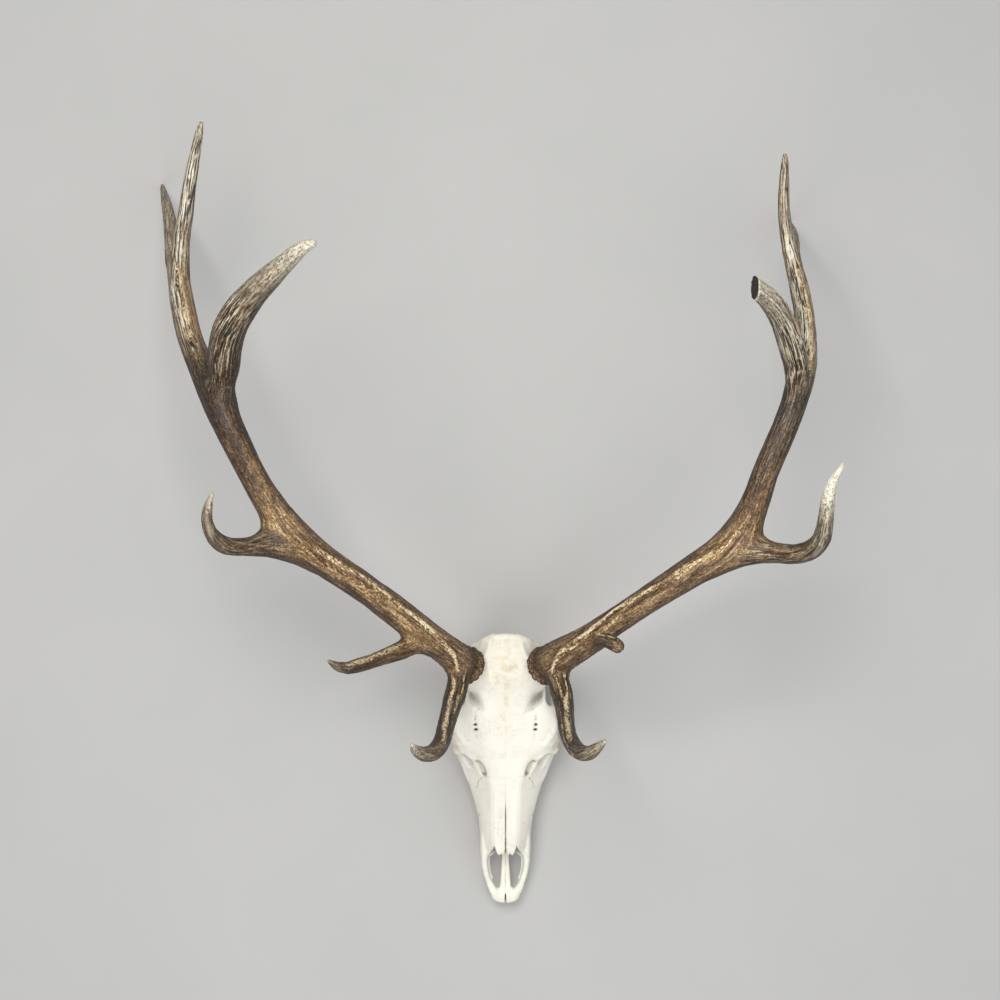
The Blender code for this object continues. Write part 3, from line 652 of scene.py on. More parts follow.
class Flow:
    """A shader socket whose operators add Math nodes."""

    def __init__(self, graph: "Graph", socket: bpy.types.NodeSocket) -> None:
        """Wraps an output socket of a graph."""
        self.graph, self.socket = graph, socket

    def _math(self, operation: str, first: object, second: object) -> "Flow":
        """One Math node on two values."""
        return self.graph.node("ShaderNodeMath", {"operation": operation}, {0: first, 1: second})

    def __add__(self, other: object) -> "Flow":
        """Sum."""
        return self._math("ADD", self, other)

    __radd__ = __add__

    def __sub__(self, other: object) -> "Flow":
        """Difference."""
        return self._math("SUBTRACT", self, other)

    def __rsub__(self, other: object) -> "Flow":
        """Difference from a number."""
        return self._math("SUBTRACT", other, self)

    def __mul__(self, other: object) -> "Flow":
        """Product."""
        return self._math("MULTIPLY", self, other)

    __rmul__ = __mul__

    def __pow__(self, other: object) -> "Flow":
        """Power."""
        return self._math("POWER", self, other)

    def size(self) -> "Flow":
        """Absolute value."""
        return self._math("ABSOLUTE", self, 0.0)

    def least(self, other: object) -> "Flow":
        """The smaller of two values."""
        return self._math("MINIMUM", self, other)

    def most(self, other: object) -> "Flow":
        """The larger of two values."""
        return self._math("MAXIMUM", self, other)

    def between(self, low: float, high: float) -> "Flow":
        """0 at low, 1 at high, smooth and clamped; low may be the higher number."""
        return self.graph.node("ShaderNodeMapRange", {"interpolation_type": "SMOOTHSTEP", "clamp": True},
                               {0: self, 1: low, 2: high, 3: 0.0, 4: 1.0})


class Graph:
    """A material under construction."""

    def __init__(self, name: str) -> None:
        """Starts a material with a Principled surface.

        Args:
            name: the material's name.
        """
        self.material = bpy.data.materials.new(name)
        self.material.use_nodes = True
        self.tree = self.material.node_tree
        self.surface = self.tree.nodes["Principled BSDF"]
        self.place = self.node("ShaderNodeTexCoord", {}, {}, "Object")

    def node(self, kind: str, settings: dict, values: dict, output: int | str = 0) -> Flow:
        """Adds any node.

        Args:
            kind: the node's type.
            settings: its properties, set first; "stops" are a ramp's (place, colour) pairs.
            values: what its inputs hold, a Flow to link or a plain value, by index or name.
            output: which output to read.

        Returns:
            The output as a Flow.
        """
        made = self.tree.nodes.new(kind)
        for key, value in settings.items():
            if key == "stops":
                band = made.color_ramp
                while len(band.elements) < len(value):
                    band.elements.new(1.0)
                for element, (where, colour) in zip(band.elements, value):
                    element.position, element.color = where, (*colour, 1.0)
            else:
                setattr(made, key, value)
        for key, value in values.items():
            if isinstance(value, Flow):
                self.tree.links.new(value.socket, made.inputs[key])
            else:
                made.inputs[key].default_value = value
        return Flow(self, made.outputs[output])

    def noise(self, scale: float, detail: float = 3.0, vector: Flow | None = None,
              roughness: float = 0.55) -> Flow:
        """Noise from 0 to 1 with about scale bumps to the unit of its vector."""
        return self.node("ShaderNodeTexNoise", {}, {"Vector": vector or self.place, "Scale": scale,
                                                    "Detail": detail, "Roughness": roughness})

    def cells(self, scale: float, vector: Flow | None = None, output: str = "Distance") -> Flow:
        """Cell pattern: distance to the nearest random point."""
        return self.node("ShaderNodeTexVoronoi", {}, {"Vector": vector or self.place, "Scale": scale}, output)

    def stretched(self, vector: Flow, scale: tuple) -> Flow:
        """A vector with each axis multiplied."""
        return self.node("ShaderNodeVectorMath", {"operation": "MULTIPLY"}, {0: vector, 1: scale})

    def value(self, name: str) -> Flow:
        """A number stored on the piece's vertices."""
        return self.node("ShaderNodeAttribute", {"attribute_name": name}, {}, "Fac")

    def vector(self, name: str) -> Flow:
        """A vector stored on the piece's vertices."""
        return self.node("ShaderNodeAttribute", {"attribute_name": name}, {}, "Vector")

    def ramp(self, value: Flow, stops: list) -> Flow:
        """A colour from a ramp of (place, colour) stops."""
        return self.node("ShaderNodeValToRGB", {"stops": stops}, {0: value})

    def mix(self, low: object, high: object, share: object) -> Flow:
        """Colour mix: low where the share is 0, high where it is 1."""
        ends = [end if isinstance(end, Flow) else (*end, 1.0) for end in (low, high)]
        return self.node("ShaderNodeMix", {"data_type": "RGBA"}, {0: share, 6: ends[0], 7: ends[1]}, 2)

    def blend(self, low: Flow, high: Flow, share: Flow) -> Flow:
        """Number mix: low where the share is 0, high where it is 1."""
        return self.node("ShaderNodeMix", {"data_type": "FLOAT"}, {0: share, 2: low, 3: high})

    def finish(self, colour: Flow, roughness: Flow, height: Flow, depth: float,
               sheen: dict) -> bpy.types.Material:
        """Links the surface.

        Args:
            colour: base colour.
            roughness: roughness.
            height: bump height from 0 to 1.
            depth: height of the bump, in metres.
            sheen: plain values of other sockets of the surface.

        Returns:
            The finished material.
        """
        bump = self.node("ShaderNodeBump", {}, {"Height": height, "Strength": 1.0, "Distance": depth},
                         "Normal")
        for name, flow in (("Base Color", colour), ("Roughness", roughness), ("Normal", bump)):
            self.tree.links.new(flow.socket, self.surface.inputs[name])
        for name, value in sheen.items():
            self.surface.inputs[name].default_value = value
        return self.material


def srgb(*parts: int) -> tuple[float, float, float]:
    """A colour of three parts from 0 to 255, as linear light."""
    return tuple(p / 255 / 12.92 if p <= 10 else ((p / 255 + 0.055) / 1.055) ** 2.4 for p in parts)


@dataclass(frozen=True)
class BleachedBone:
    """Dry bleached bone: warm ivory with pores, sutures and faint tan stains, and painted shade, cooler and
    darker, in hollows and in the pores.
    """

    ivory: tuple = srgb(247, 244, 230)
    cool: tuple = srgb(216, 215, 206)
    tan: tuple = srgb(224, 208, 172)
    rose: tuple = srgb(217, 205, 184)
    crevice_shade: tuple = srgb(130, 121, 103)
    seam: tuple = srgb(112, 98, 82)
    pit: tuple = srgb(34, 30, 30)

    def material(self) -> bpy.types.Material:
        """Colour from painted shade in hollows, pores and holes, from stains and from seams; roughness and
        bump from pores and fine grain.

        Returns:
            The material.
        """
        g = Graph("bleached_bone_looks")
        broad, fine, blot = g.noise(11.0, 4.0), g.noise(420.0, 4.0), g.noise(120.0, 5.0)
        pores = g.cells(560.0).between(0.34, 0.14) * g.noise(30.0, 3.0).between(0.46, 0.64)
        hollow = g.value("hollow")
        colour = g.mix(self.ivory, self.cool, broad.between(0.45, 0.78) * 0.28 + (blot - 0.5).size() * 0.5)
        colour = g.mix(colour, self.tan, g.value("stain") * blot.between(0.30, 0.66) * 0.75)
        colour = g.mix(colour, self.rose, g.value("rose") * g.noise(80.0, 4.0).between(0.15, 0.60))
        # Painted shade: cooler, then darker, where the hollow value says the surface lies in a recess, and
        # darker in the pores.
        colour = g.mix(colour, self.cool, hollow.between(0.05, 0.6) * 0.85)
        colour = g.mix(colour, self.crevice_shade, hollow.between(0.45, 2.2) * 0.80)
        colour = g.mix(colour, self.crevice_shade, pores * 0.45)
        wander = (fine - 0.5) * 0.7
        line = (g.value("seam_across") + wander).size().between(0.9, 0.25)
        middle = (g.value("seam_along") + wander).size().between(0.7, 0.15)
        middle = middle * g.noise(60.0, 2.0).between(0.30, 0.60)
        line = line.most(middle * 0.35)
        colour = g.mix(colour, self.seam, line * 0.45)
        # Painted shadow: near black in the pits of the foramina, the notch at the nose tip and the nose
        # cavity.
        colour = g.mix(colour, self.pit, g.value("pit"))
        roughness = 0.52 + fine * 0.16 + hollow.between(0.0, 1.0) * 0.12
        height = fine * 0.40 + blot * 0.25 + g.noise(1500.0, 2.0) * 0.12 - pores * 0.6 - line * 0.6
        return g.finish(colour, roughness, height, 0.0006, {"Specular IOR Level": 0.40})


@dataclass(frozen=True)
class ToothEnamel:
    """Worn cheek teeth: cream enamel with brown stain in the folds and down the roots."""

    cream: tuple = srgb(226, 214, 184)
    stain: tuple = srgb(128, 96, 58)
    dark: tuple = srgb(58, 42, 28)

    def material(self) -> bpy.types.Material:
        """Colour from the folds and streaks up the crown.

        Returns:
            The material.
        """
        g = Graph("tooth_enamel_looks")
        streaks = g.noise(1.0, 4.0, g.stretched(g.place, (420.0, 420.0, 60.0)))
        fold = g.value("fold")
        colour = g.mix(self.cream, self.stain, (streaks.between(0.45, 0.75) * 0.6 + fold * 0.4).least(1.0))
        colour = g.mix(colour, self.dark, g.value("worn_hollow"))
        roughness = 0.30 + streaks * 0.25
        return g.finish(colour, roughness, streaks, 0.0004, {"Specular IOR Level": 0.5, "Coat Weight": 0.15})


@dataclass(frozen=True)
class HardAntler:
    """Hard antler: dark stain in the gutters, golden brown between, polished cream on the ridges."""

    black: tuple = srgb(26, 19, 14)
    dark: tuple = srgb(58, 43, 30)
    brown: tuple = srgb(98, 73, 48)
    golden: tuple = srgb(144, 109, 69)
    honey: tuple = srgb(200, 168, 120)
    cream: tuple = srgb(250, 232, 192)
    amber: tuple = srgb(164, 118, 66)
    umber: tuple = srgb(88, 72, 54)
    taupe: tuple = srgb(138, 118, 90)
    tan: tuple = srgb(180, 157, 122)
    ivory: tuple = srgb(218, 208, 182)
    bright: tuple = srgb(240, 237, 222)
    flint: tuple = srgb(156, 146, 124)
    red_brown: tuple = srgb(104, 74, 52)
    marrow: tuple = srgb(60, 45, 36)

    def streaks(self, g: Graph, q: Flow) -> tuple[Flow, Flow, Flow, Flow]:
        """Patterns on the straightened place: broad wander, flecks, fine streaks and thin broken gutters.

        Args:
            g: the material under construction.
            q: the place on a straight rod, in millimetres.

        Returns:
            The four patterns, each from 0 to 1.
        """
        broad = g.noise(1.0, 3.0, g.stretched(q, (0.06, 0.06, 0.014)))
        fleck = g.noise(1.0, 5.0, g.stretched(q, (0.34, 0.34, 0.17)), 0.68)
        fine = g.noise(1.0, 3.0, g.stretched(q, (0.44, 0.44, 0.026)), 0.6)
        gutter = (g.noise(1.0, 1.5, g.stretched(q, (0.21, 0.21, 0.008))) - 0.5).size().between(0.075, 0.030)
        lines = gutter * g.noise(1.0, 2.0, g.stretched(q, (0.20, 0.20, 0.055))).between(0.36, 0.50)
        return broad, fleck, fine, lines

    def material(self) -> bpy.types.Material:
        """Two sets of patterns, along the beam and along the tine, faded into each other at the forks.

        Returns:
            The material.
        """
        g = Graph("hard_antler_looks")
        fork = g.value("fork")
        pairs = zip(self.streaks(g, g.vector("beam_place")), self.streaks(g, g.vector("tine_place")))
        broad, fleck, fine, lines = (g.blend(a, b, fork) for a, b in pairs)
        relief, pale, stripe = g.value("relief"), g.value("pale"), g.value("stripe")
        shine, burr, worn, dim = g.value("shine"), g.value("burr"), g.value("worn"), g.value("dim")
        grains = g.cells(330.0)
        speck = g.noise(520.0, 3.0, roughness=0.75)
        grit = (fleck - 0.5) * 1.3 + (fine - 0.5) * 0.8 + (broad - 0.5) * 0.7 + (speck - 0.5) * 1.3
        # Lighter where the skin faces up (worn): partly wear, partly painted light; the tabled darkening is
        # painted shade.
        tone = grit + worn * 0.46 + relief * 0.12 + 0.15 - dim * 0.36
        colour = g.ramp(tone, [(0.0, self.black), (0.2, self.dark), (0.40, self.brown), (0.60, self.golden),
                               (0.82, self.honey), (1.0, self.cream)])
        grey = g.ramp(tone, [(0.0, self.black), (0.22, self.umber), (0.5, self.taupe), (0.74, self.tan),
                             (1.0, self.ivory)])
        colour = g.mix(colour, grey, pale.between(0.05, 0.45))
        colour = g.mix(colour, self.amber, g.value("amber") * fleck.between(0.25, 0.55))
        # The stripes too are lighter where the skin faces up, as wear and painted light, and darker by the
        # tabled painted shade.
        banding = (fine - 0.5) * 2.9 + (fleck - 0.5) * 0.9 + (speck - 0.5) * 0.7
        banding = banding + pale * 0.35 + worn * 0.25 + 0.41 - dim * 0.42
        bands = g.ramp(banding, [(0.0, self.dark), (0.30, self.umber), (0.46, self.taupe), (0.60, self.tan),
                                 (0.80, self.ivory), (1.0, self.bright)])
        colour = g.mix(colour, bands, stripe)
        bleached = g.ramp((fleck - 0.5) * 2.2 + (speck - 0.5) * 1.6 + pale * 0.62 + 0.14,
                          [(0.0, self.dark), (0.24, self.umber), (0.42, self.flint), (0.60, self.ivory),
                           (0.82, self.bright)])
        colour = g.mix(colour, bleached, pale.between(0.48, 0.90))
        # The burr's grains are a little lighter where the skin faces up: wear and painted light.
        red = g.ramp(grains + (speck - 0.5) * 1.2 - worn * 0.12 + 0.10,
                     [(0.0, self.honey), (0.20, self.golden), (0.36, self.red_brown), (0.62, self.dark),
                      (1.0, self.black)])
        colour = g.mix(colour, red, burr * 0.9)
        cut = lines * (stripe * 1.25 + 0.22).least(1.0) * (1 - pale.between(0.72, 0.92))
        colour = g.mix(colour, self.black, cut * 0.95)
        colour = g.mix(colour, self.dark, relief.between(-0.4, -1.3) * (1 - pale) * 0.8)
        scuffs = (fleck - 0.5) * 3.6 + (fine - 0.5) * 1.4 + (speck - 0.5) * 2.8
        rubbed = shine + scuffs * shine.between(0.0, 0.3)
        colour = g.mix(colour, self.honey, rubbed.between(0.12, 0.50) * 0.85)
        colour = g.mix(colour, self.cream, rubbed.between(0.45, 0.90))
        # Painted shade: darker on the sides that face away from up, except on the bleached parts.
        colour = g.mix(colour, self.dark, (1 - worn) * (1 - pale.between(0.5, 1.0)) * 0.5)
        colour = g.mix(colour, self.black, g.value("crack"))
        snapped = g.value("snapped")
        colour = g.mix(colour, g.ramp(speck, [(0.3, self.black), (0.7, self.marrow)]), snapped)
        roughness = 0.47 - shine * 0.15 + (speck - 0.5) * 0.25 + burr * 0.12 + snapped * 0.2
        roughness = roughness + (1 - worn) * 0.08
        height = fine * (stripe * 0.4 + 0.1) - cut * 0.7 + fleck * 0.35 + speck * 0.25
        height = height + (1 - grains) * (burr * 0.8 + 0.10) - snapped * speck
        return g.finish(colour, roughness, height, 0.0010, {"Specular IOR Level": 0.45})


# The skull

@dataclass
class Cranium:
    """The fused bone of the head: braincase, orbits, arches, upper jaw and palate."""

    bone: bpy.types.Material
    voxel: float = 1.68
    core_points: int = 40
    core_rings: int = 140
    seat_level: float = 18.5
    lowest: float = 3.0
    pits: tuple = ((49.0, 304.5, 116.0, 3.2, 2.5, 7.0), (48.0, 296.5, 114.5, 4.0, 2.2, 7.0),
                   (48.5, 314.0, 117.0, 1.5, 1.5, 2.2), (47.5, 319.0, 117.0, 1.3, 1.3, 1.6),
                   (44.0, 330.0, 119.0, 1.3, 1.3, 2.0), (43.0, 150.0, 52.0, 2.5, 4.0, 1.6),
                   (31.0, 140.0, 79.0, 1.0, 1.0, 1.5))

    def core(self) -> np.ndarray:
        """Rings of the main form: the tabled half sections, splined both ways and mirrored.

        Returns:
            Rings × points × 3, from the nose to the nape.
        """
        stations = list(SECTIONS)
        halves = np.array([spline(SECTIONS[y], self.core_points) for y in stations])
        table = np.column_stack([stations, halves.reshape(len(stations), -1)])
        rows = spline(table, self.core_rings)
        half = rows[:, 1:].reshape(self.core_rings, self.core_points, 2)
        depth = np.repeat(rows[:, :1], self.core_points, axis=1)
        right = np.dstack([half[:, :, 0], depth, half[:, :, 1]])
        rings = np.concatenate([right, right[:, -2:0:-1] * (-1.0, 1.0, 1.0)], axis=1)
        rings = rings[rings[:, 0, 1] > PREMAXILLA_BACK - 2]
        rings[0, :, 1] = PREMAXILLA_BACK + 0.3
        lean = math.tan(math.radians(NAPE_LEAN))
        nape = NAPE_POINT[1] - (NAPE_POINT[2] - rings[:, :, 2]) * lean
        rings[:, :, 1] = np.minimum(rings[:, :, 1], nape)
        return rings

    def forms(self) -> Shell:
        """Core, arches, rims, pedicles, condyles, bullae and processes, on both sides.

        Returns:
            All of them in one shell.
        """
        shells = [ring_shell(self.core())]
        for stations in (ZYGOMATIC_ARCH, POSTORBITAL_BAR, FRONTAL_EDGE, TEAR_LEDGE, ORBIT_RIM, BROW_RIM,
                         PEDICLE, JUGULAR_PROCESS, PTERYGOID, NUCHAL_CREST, FACIAL_CREST):
            tube = Path.through(stations, tip=False).tube(28)
            shells += [tube, tube.mirrored()]
        for form in (CONDYLE, AUDITORY_BULLA):
            shell = ellipsoid(form)
            shells += [shell, shell.mirrored()]
        return Shell.joined(shells)

    def hollows(self) -> Shell:
        """Nose, eye sockets, temples, face openings, rear nostrils and the hole at the nape.

        Returns:
            All that is cut away, in one shell.
        """
        slot = [(0, 95, 80, 15, 26), (0, 150, 84, 16.5, 26), (0, 190, 88, 15, 24), (0, 215, 88, 9, 20)]
        shells = [oval_sweep(NASAL_CAVITY, 40), oval_sweep(slot, 24, power=0.6),
                  Path.through(FORAMEN_MAGNUM, tip=False).tube(28), ellipsoid(CHOANA)]
        for shell in (ellipsoid(EYE_SOCKET, 56, 30), ellipsoid(TEMPORAL_FOSSA), ellipsoid(TEAR_PIT, 48, 24),
                      oval_sweep(FACE_OPENING, 20)):
            shells += [shell, shell.mirrored()]
        return Shell.joined(shells)

    def scrolls(self) -> Shell:
        """Thin rolled bones that show inside the face openings.

        Returns:
            The scrolls of both sides.
        """
        tubes = [Path.through(stations, 1.0, tip=False).tube(12) for stations in FACE_SCROLLS]
        return Shell.joined(tubes + [tube.mirrored() for tube in tubes])

    @staticmethod
    def brow_hollow(side: np.ndarray, y: np.ndarray, offset: float) -> tuple[np.ndarray, np.ndarray]:
        """Distances across and along the slanting hollow beside the forehead, offset from the midline."""
        return (side - offset) * 0.75 - (y - 347) * 0.66, (side - offset) * 0.66 + (y - 347) * 0.75

    def shaped(self, skin: Skin) -> None:
        """Adds the low forms: each is a height along the surface normal.

        The forehead swells, furrows run forward from the foramina above the eyes, ridges
        bound the temples, the nape is rough, and pits are bell-shaped dents.

        Args:
            skin: the fused cranium, which is moved and told where its pits get painted shade.
        """
        x, y, z = skin.places.T
        side = np.abs(x)
        up = np.clip(skin.normals()[:, 2], 0, 1)
        height = 4.5 * bell(x, 38) * bell(y - 388, 24) * up
        across, ahead = self.brow_hollow(side, y, 52)
        height -= 6.5 * bell(across, 10) * bell(ahead, 23) * up
        furrow = 49 - (310 - y) * 0.10
        height -= 1.5 * bell(side - furrow, 3.4) * smoothstep(y, 262, 296) * falling(y, 316, 334) * up
        temple = read(TEMPLE_RIDGE, y)
        back = smoothstep(y, 398, 416) * smoothstep(z, 92, 118)
        height += 1.2 * bell(side - temple, 3.0) * back
        height -= 2.2 * smoothstep(side - temple, 0.5, 17) * back
        height += 0.8 * bell(x, 1.6) * bell(y - 430, 16) * up
        rough = smoothstep(y, 425, 440)
        height += (0.22 * rough + 0.16) * layered(skin.places, 9.0, 11)
        height += 0.10 * layered(skin.places, 3.5, 23, 2)
        pit = np.zeros(len(x))
        for px, py, pz, wide, long, deep in self.pits:
            near = np.exp(-(((side - px) / wide) ** 2 + ((y - py) / long) ** 2 + ((z - pz) / 9.0) ** 2))
            height -= deep * 0.45 * near
            # Painted shade: the middle of each dent is stored to be painted dark.
            pit = np.maximum(pit, smoothstep(near, 0.35, 0.75) * min(deep / 6.0, 1.0))
        skin.places = skin.places + skin.normals() * height[:, None]
        limit = read(CREST_LIMIT, np.abs(skin.places[:, 0]))
        high = smoothstep(skin.places[:, 2], 62, 90)
        skin.places[:, 1] -= np.maximum(skin.places[:, 1] - limit, 0) * high
        skin.attribute("pit", pit)

    def marked(self, skin: Skin) -> None:
        """Stores what the material paints: painted shade in the hollows, stains and signed distances to the
        sutures.

        Args:
            skin: the shaped cranium.
        """
        x, y, z = skin.places.T
        side = np.abs(x)
        up = smoothstep(skin.normals()[:, 2], 0.2, 0.8)
        # Painted shade: darker where the surface lies under its smoothed form, less on the lit upper temples,
        # and more in the slanting hollows beside the forehead and in strips beside the temple ridges.
        hollow = skin.hollow(14) + 0.25 * skin.hollow(60)
        lit = 0.8 * smoothstep(y, 402, 420) * smoothstep(side, 20, 32) * smoothstep(z, 95, 110)
        hollow = hollow * (1 - lit)
        across, ahead = self.brow_hollow(side, y, 51)
        shade = (1.05 + 0.25 * np.sign(x)) * bell(across, 11.5) * bell(ahead, 23) * up * (z > 90)
        temple = read(TEMPLE_RIDGE, y)
        shade += 0.75 * bell(side - temple - 5, 5) * smoothstep(y, 403, 414) * falling(y, 434, 444) * (z > 95)
        skin.attribute("hollow", hollow + shade)
        stain = 0.8 * bell(x, 34) * bell(y - 398, 24) * up
        stain += 0.9 * bell(x - 1, 4) * bell(y - 352, 16) * up
        stain += 0.18 * smoothstep(side, 26, 42) * smoothstep(y, 405, 425) + 0.4 * bell(y - 437, 12)
        stain += 0.25 * bell(x, 16) * smoothstep(y, 180, 300) * up
        skin.attribute("stain", np.clip(stain, 0, 1))
        rose = 1.3 * smoothstep(side - 0.28 * (y - 268), 72, 80) * bell(y - 268, 15) * smoothstep(z, 55, 66)
        rose += 0.4 * bell(side - 44, 8) * bell(y - 232, 14)
        skin.attribute("rose", np.clip(rose, 0, 1))
        tear = side - np.interp(y, [192, 209, 219], [47.5, 44, 35]) + 0.7 * np.sin(y * 1.1)
        tear = np.where((y > 196) & (y < 219) & (z > 60), tear + 0.35 * (x > 0), NO_SEAM)
        skin.attribute("seam_across", tear)
        middle = x + 0.35 * np.sin(y * 0.8)
        skin.attribute("seam_along", np.where((z > 60) & (y < 420), middle, NO_SEAM))

    def build(self) -> None:
        """Fuses, hollows, relaxes and dresses the cranium."""
        cutter = fused("hollows", self.hollows(), 1.8)
        carved = stepped(self.forms().mesh("cranium_forms"), self.voxel, cutter)
        skin = Skin(stepped(merged("cranium", carved, self.scrolls().mesh("scrolls")), self.voxel))
        skin.relax(8, 0.5)
        x, y, z = skin.places.T
        forehead = np.clip(1.4 * bell(np.abs(x) - 44, 22) * bell(y - 348, 26) * (z > 96), 0, 1)
        skin.relax(60, 0.5 * forehead[:, None])
        x, y, z = skin.places.T
        under_nasals = (np.abs(x) < read(NASAL_EDGE, y) - 1.8) & (y < 259)
        drop = 1.8 * under_nasals * (skin.normals()[:, 2] > 0.5) * falling(y, 185, 225)
        skin.places[:, 2] -= drop
        self.shaped(skin)
        seat = (np.abs(x) > 20) & (np.abs(x) < 56) & (y > 130) & (y < 268) & (z < 32)
        least = np.where(seat, self.seat_level, self.lowest)
        skin.places[:, 2] = np.maximum(skin.places[:, 2], least)
        self.marked(skin)
        skin.store()
        show("cranium_bone", skin.mesh, self.bone, "bleached_bone", "cranium")


@dataclass
class Path:
    """A centreline with a radius, sampled evenly, and an untwisted frame along it."""

    points: np.ndarray
    radii: np.ndarray
    along: np.ndarray
    ahead: np.ndarray
    up: np.ndarray
    side: np.ndarray

    @classmethod
    def through(cls, stations: list, step: float = 3.0, tip: bool = True) -> "Path":
        """A path through stations of x, y, z and radius.

        Args:
            stations: the tabled centreline.
            step: spacing of the samples, in millimetres.
            tip: whether the path stops short by its last radius, to leave room for a rounded tip.

        Returns:
            The sampled path. Its up vector starts towards +Z and is carried along without twist.
        """
        fine = spline(stations, 40 * len(stations))
        length = np.concatenate([[0], np.cumsum(np.linalg.norm(np.diff(fine[:, :3], axis=0), axis=1))])
        reach = length[-1] - (stations[-1][3] if tip else 0.0)
        along = np.linspace(0, reach, max(4, round(reach / step)))
        samples = np.stack([np.interp(along, length, fine[:, k]) for k in range(4)], axis=1)
        ahead = unit(np.gradient(samples[:, :3], axis=0))
        up = np.zeros_like(ahead)
        carried = UPRIGHT if abs(ahead[0, 2]) < 0.98 else np.array([0.0, 1.0, 0.0])
        for i, way in enumerate(ahead):
            carried = unit(carried - carried @ way * way)
            up[i] = carried
        return cls(samples[:, :3], samples[:, 3], along, ahead, up, np.cross(ahead, up))

    def tube(self, sides: int) -> Shell:
        """A circle of the path's radius carried along it.

        Args:
            sides: points round the circle.

        Returns:
            The closed shell.
        """
        angle = turn(sides)[None, :, None]
        ring = self.up[:, None] * np.cos(angle) + self.side[:, None] * np.sin(angle)
        return ring_shell(self.points[:, None] + ring * self.radii[:, None, None])

    def locate(self, places: np.ndarray) -> "Located":
        """Finds each place's nearest point on the centreline and its bearing round it.

        Args:
            places: points, in the skull's frame.

        Returns:
            Where the places lie round the path.
        """
        nearest = np.empty(len(places), int)
        square = (self.points**2).sum(1)
        for start in range(0, len(places), SEARCH_BATCH):
            part = slice(start, start + SEARCH_BATCH)
            nearest[part] = np.argmin(square - 2 * places[part] @ self.points.T, axis=1)
        index = np.clip(nearest, 1, len(self.points) - 2)
        base = self.points[index - 1]
        span = self.points[index + 1] - base
        t = np.clip(((places - base) * span).sum(1) / (span**2).sum(1), 0, 1)
        offset = places - base - span * t[:, None]
        distance = np.linalg.norm(offset, axis=1)

        def between(values: np.ndarray) -> np.ndarray:
            """Values of the path at the nearest point."""
            weight = t if values.ndim == 1 else t[:, None]
            return values[index - 1] * (1 - weight) + values[index + 1] * weight

        outward = offset / np.maximum(distance, 1e-6)[:, None]
        return Located(between(self.along), distance, between(self.radii), outward,
                       (outward * unit(between(self.up))).sum(1), (outward * unit(between(self.side))).sum(1))


@dataclass
class Located:
    """Where places lie round a path: length along it, distance from it, its radius there, and the bearing."""

    along: np.ndarray
    distance: np.ndarray
    radius: np.ndarray
    outward: np.ndarray
    cosine: np.ndarray
    sine: np.ndarray

    def straightened(self, shift: float) -> np.ndarray:
        """The place on a straight rod of the path's radius: (r cos, r sin, length along plus a shift)."""
        return np.stack([self.radius * self.cosine, self.radius * self.sine, self.along + shift], axis=1)


class Tube(Enum):
    """The beam and the tines that spring from it."""

    BEAM = "beam"
    BROW = "brow"
    BEZ = "bez"
    TREZ = "trez"
    ROYAL = "royal"
    REAR = "rear"


class Mark(Enum):
    """What a band along a tube is."""

    RUBBED = "rubbed"
    STRIPED = "striped"
    AMBER = "amber"
    CRACK = "crack"


@dataclass(frozen=True)
class Band:
    """A mark along a tube, from and to a share of its length, at bearings in degrees from the upper side."""

    tube: Tube
    start: float
    end: float
    bearing: tuple
    width: float = 3.2
    strength: float = 1.0
    mark: Mark = Mark.RUBBED


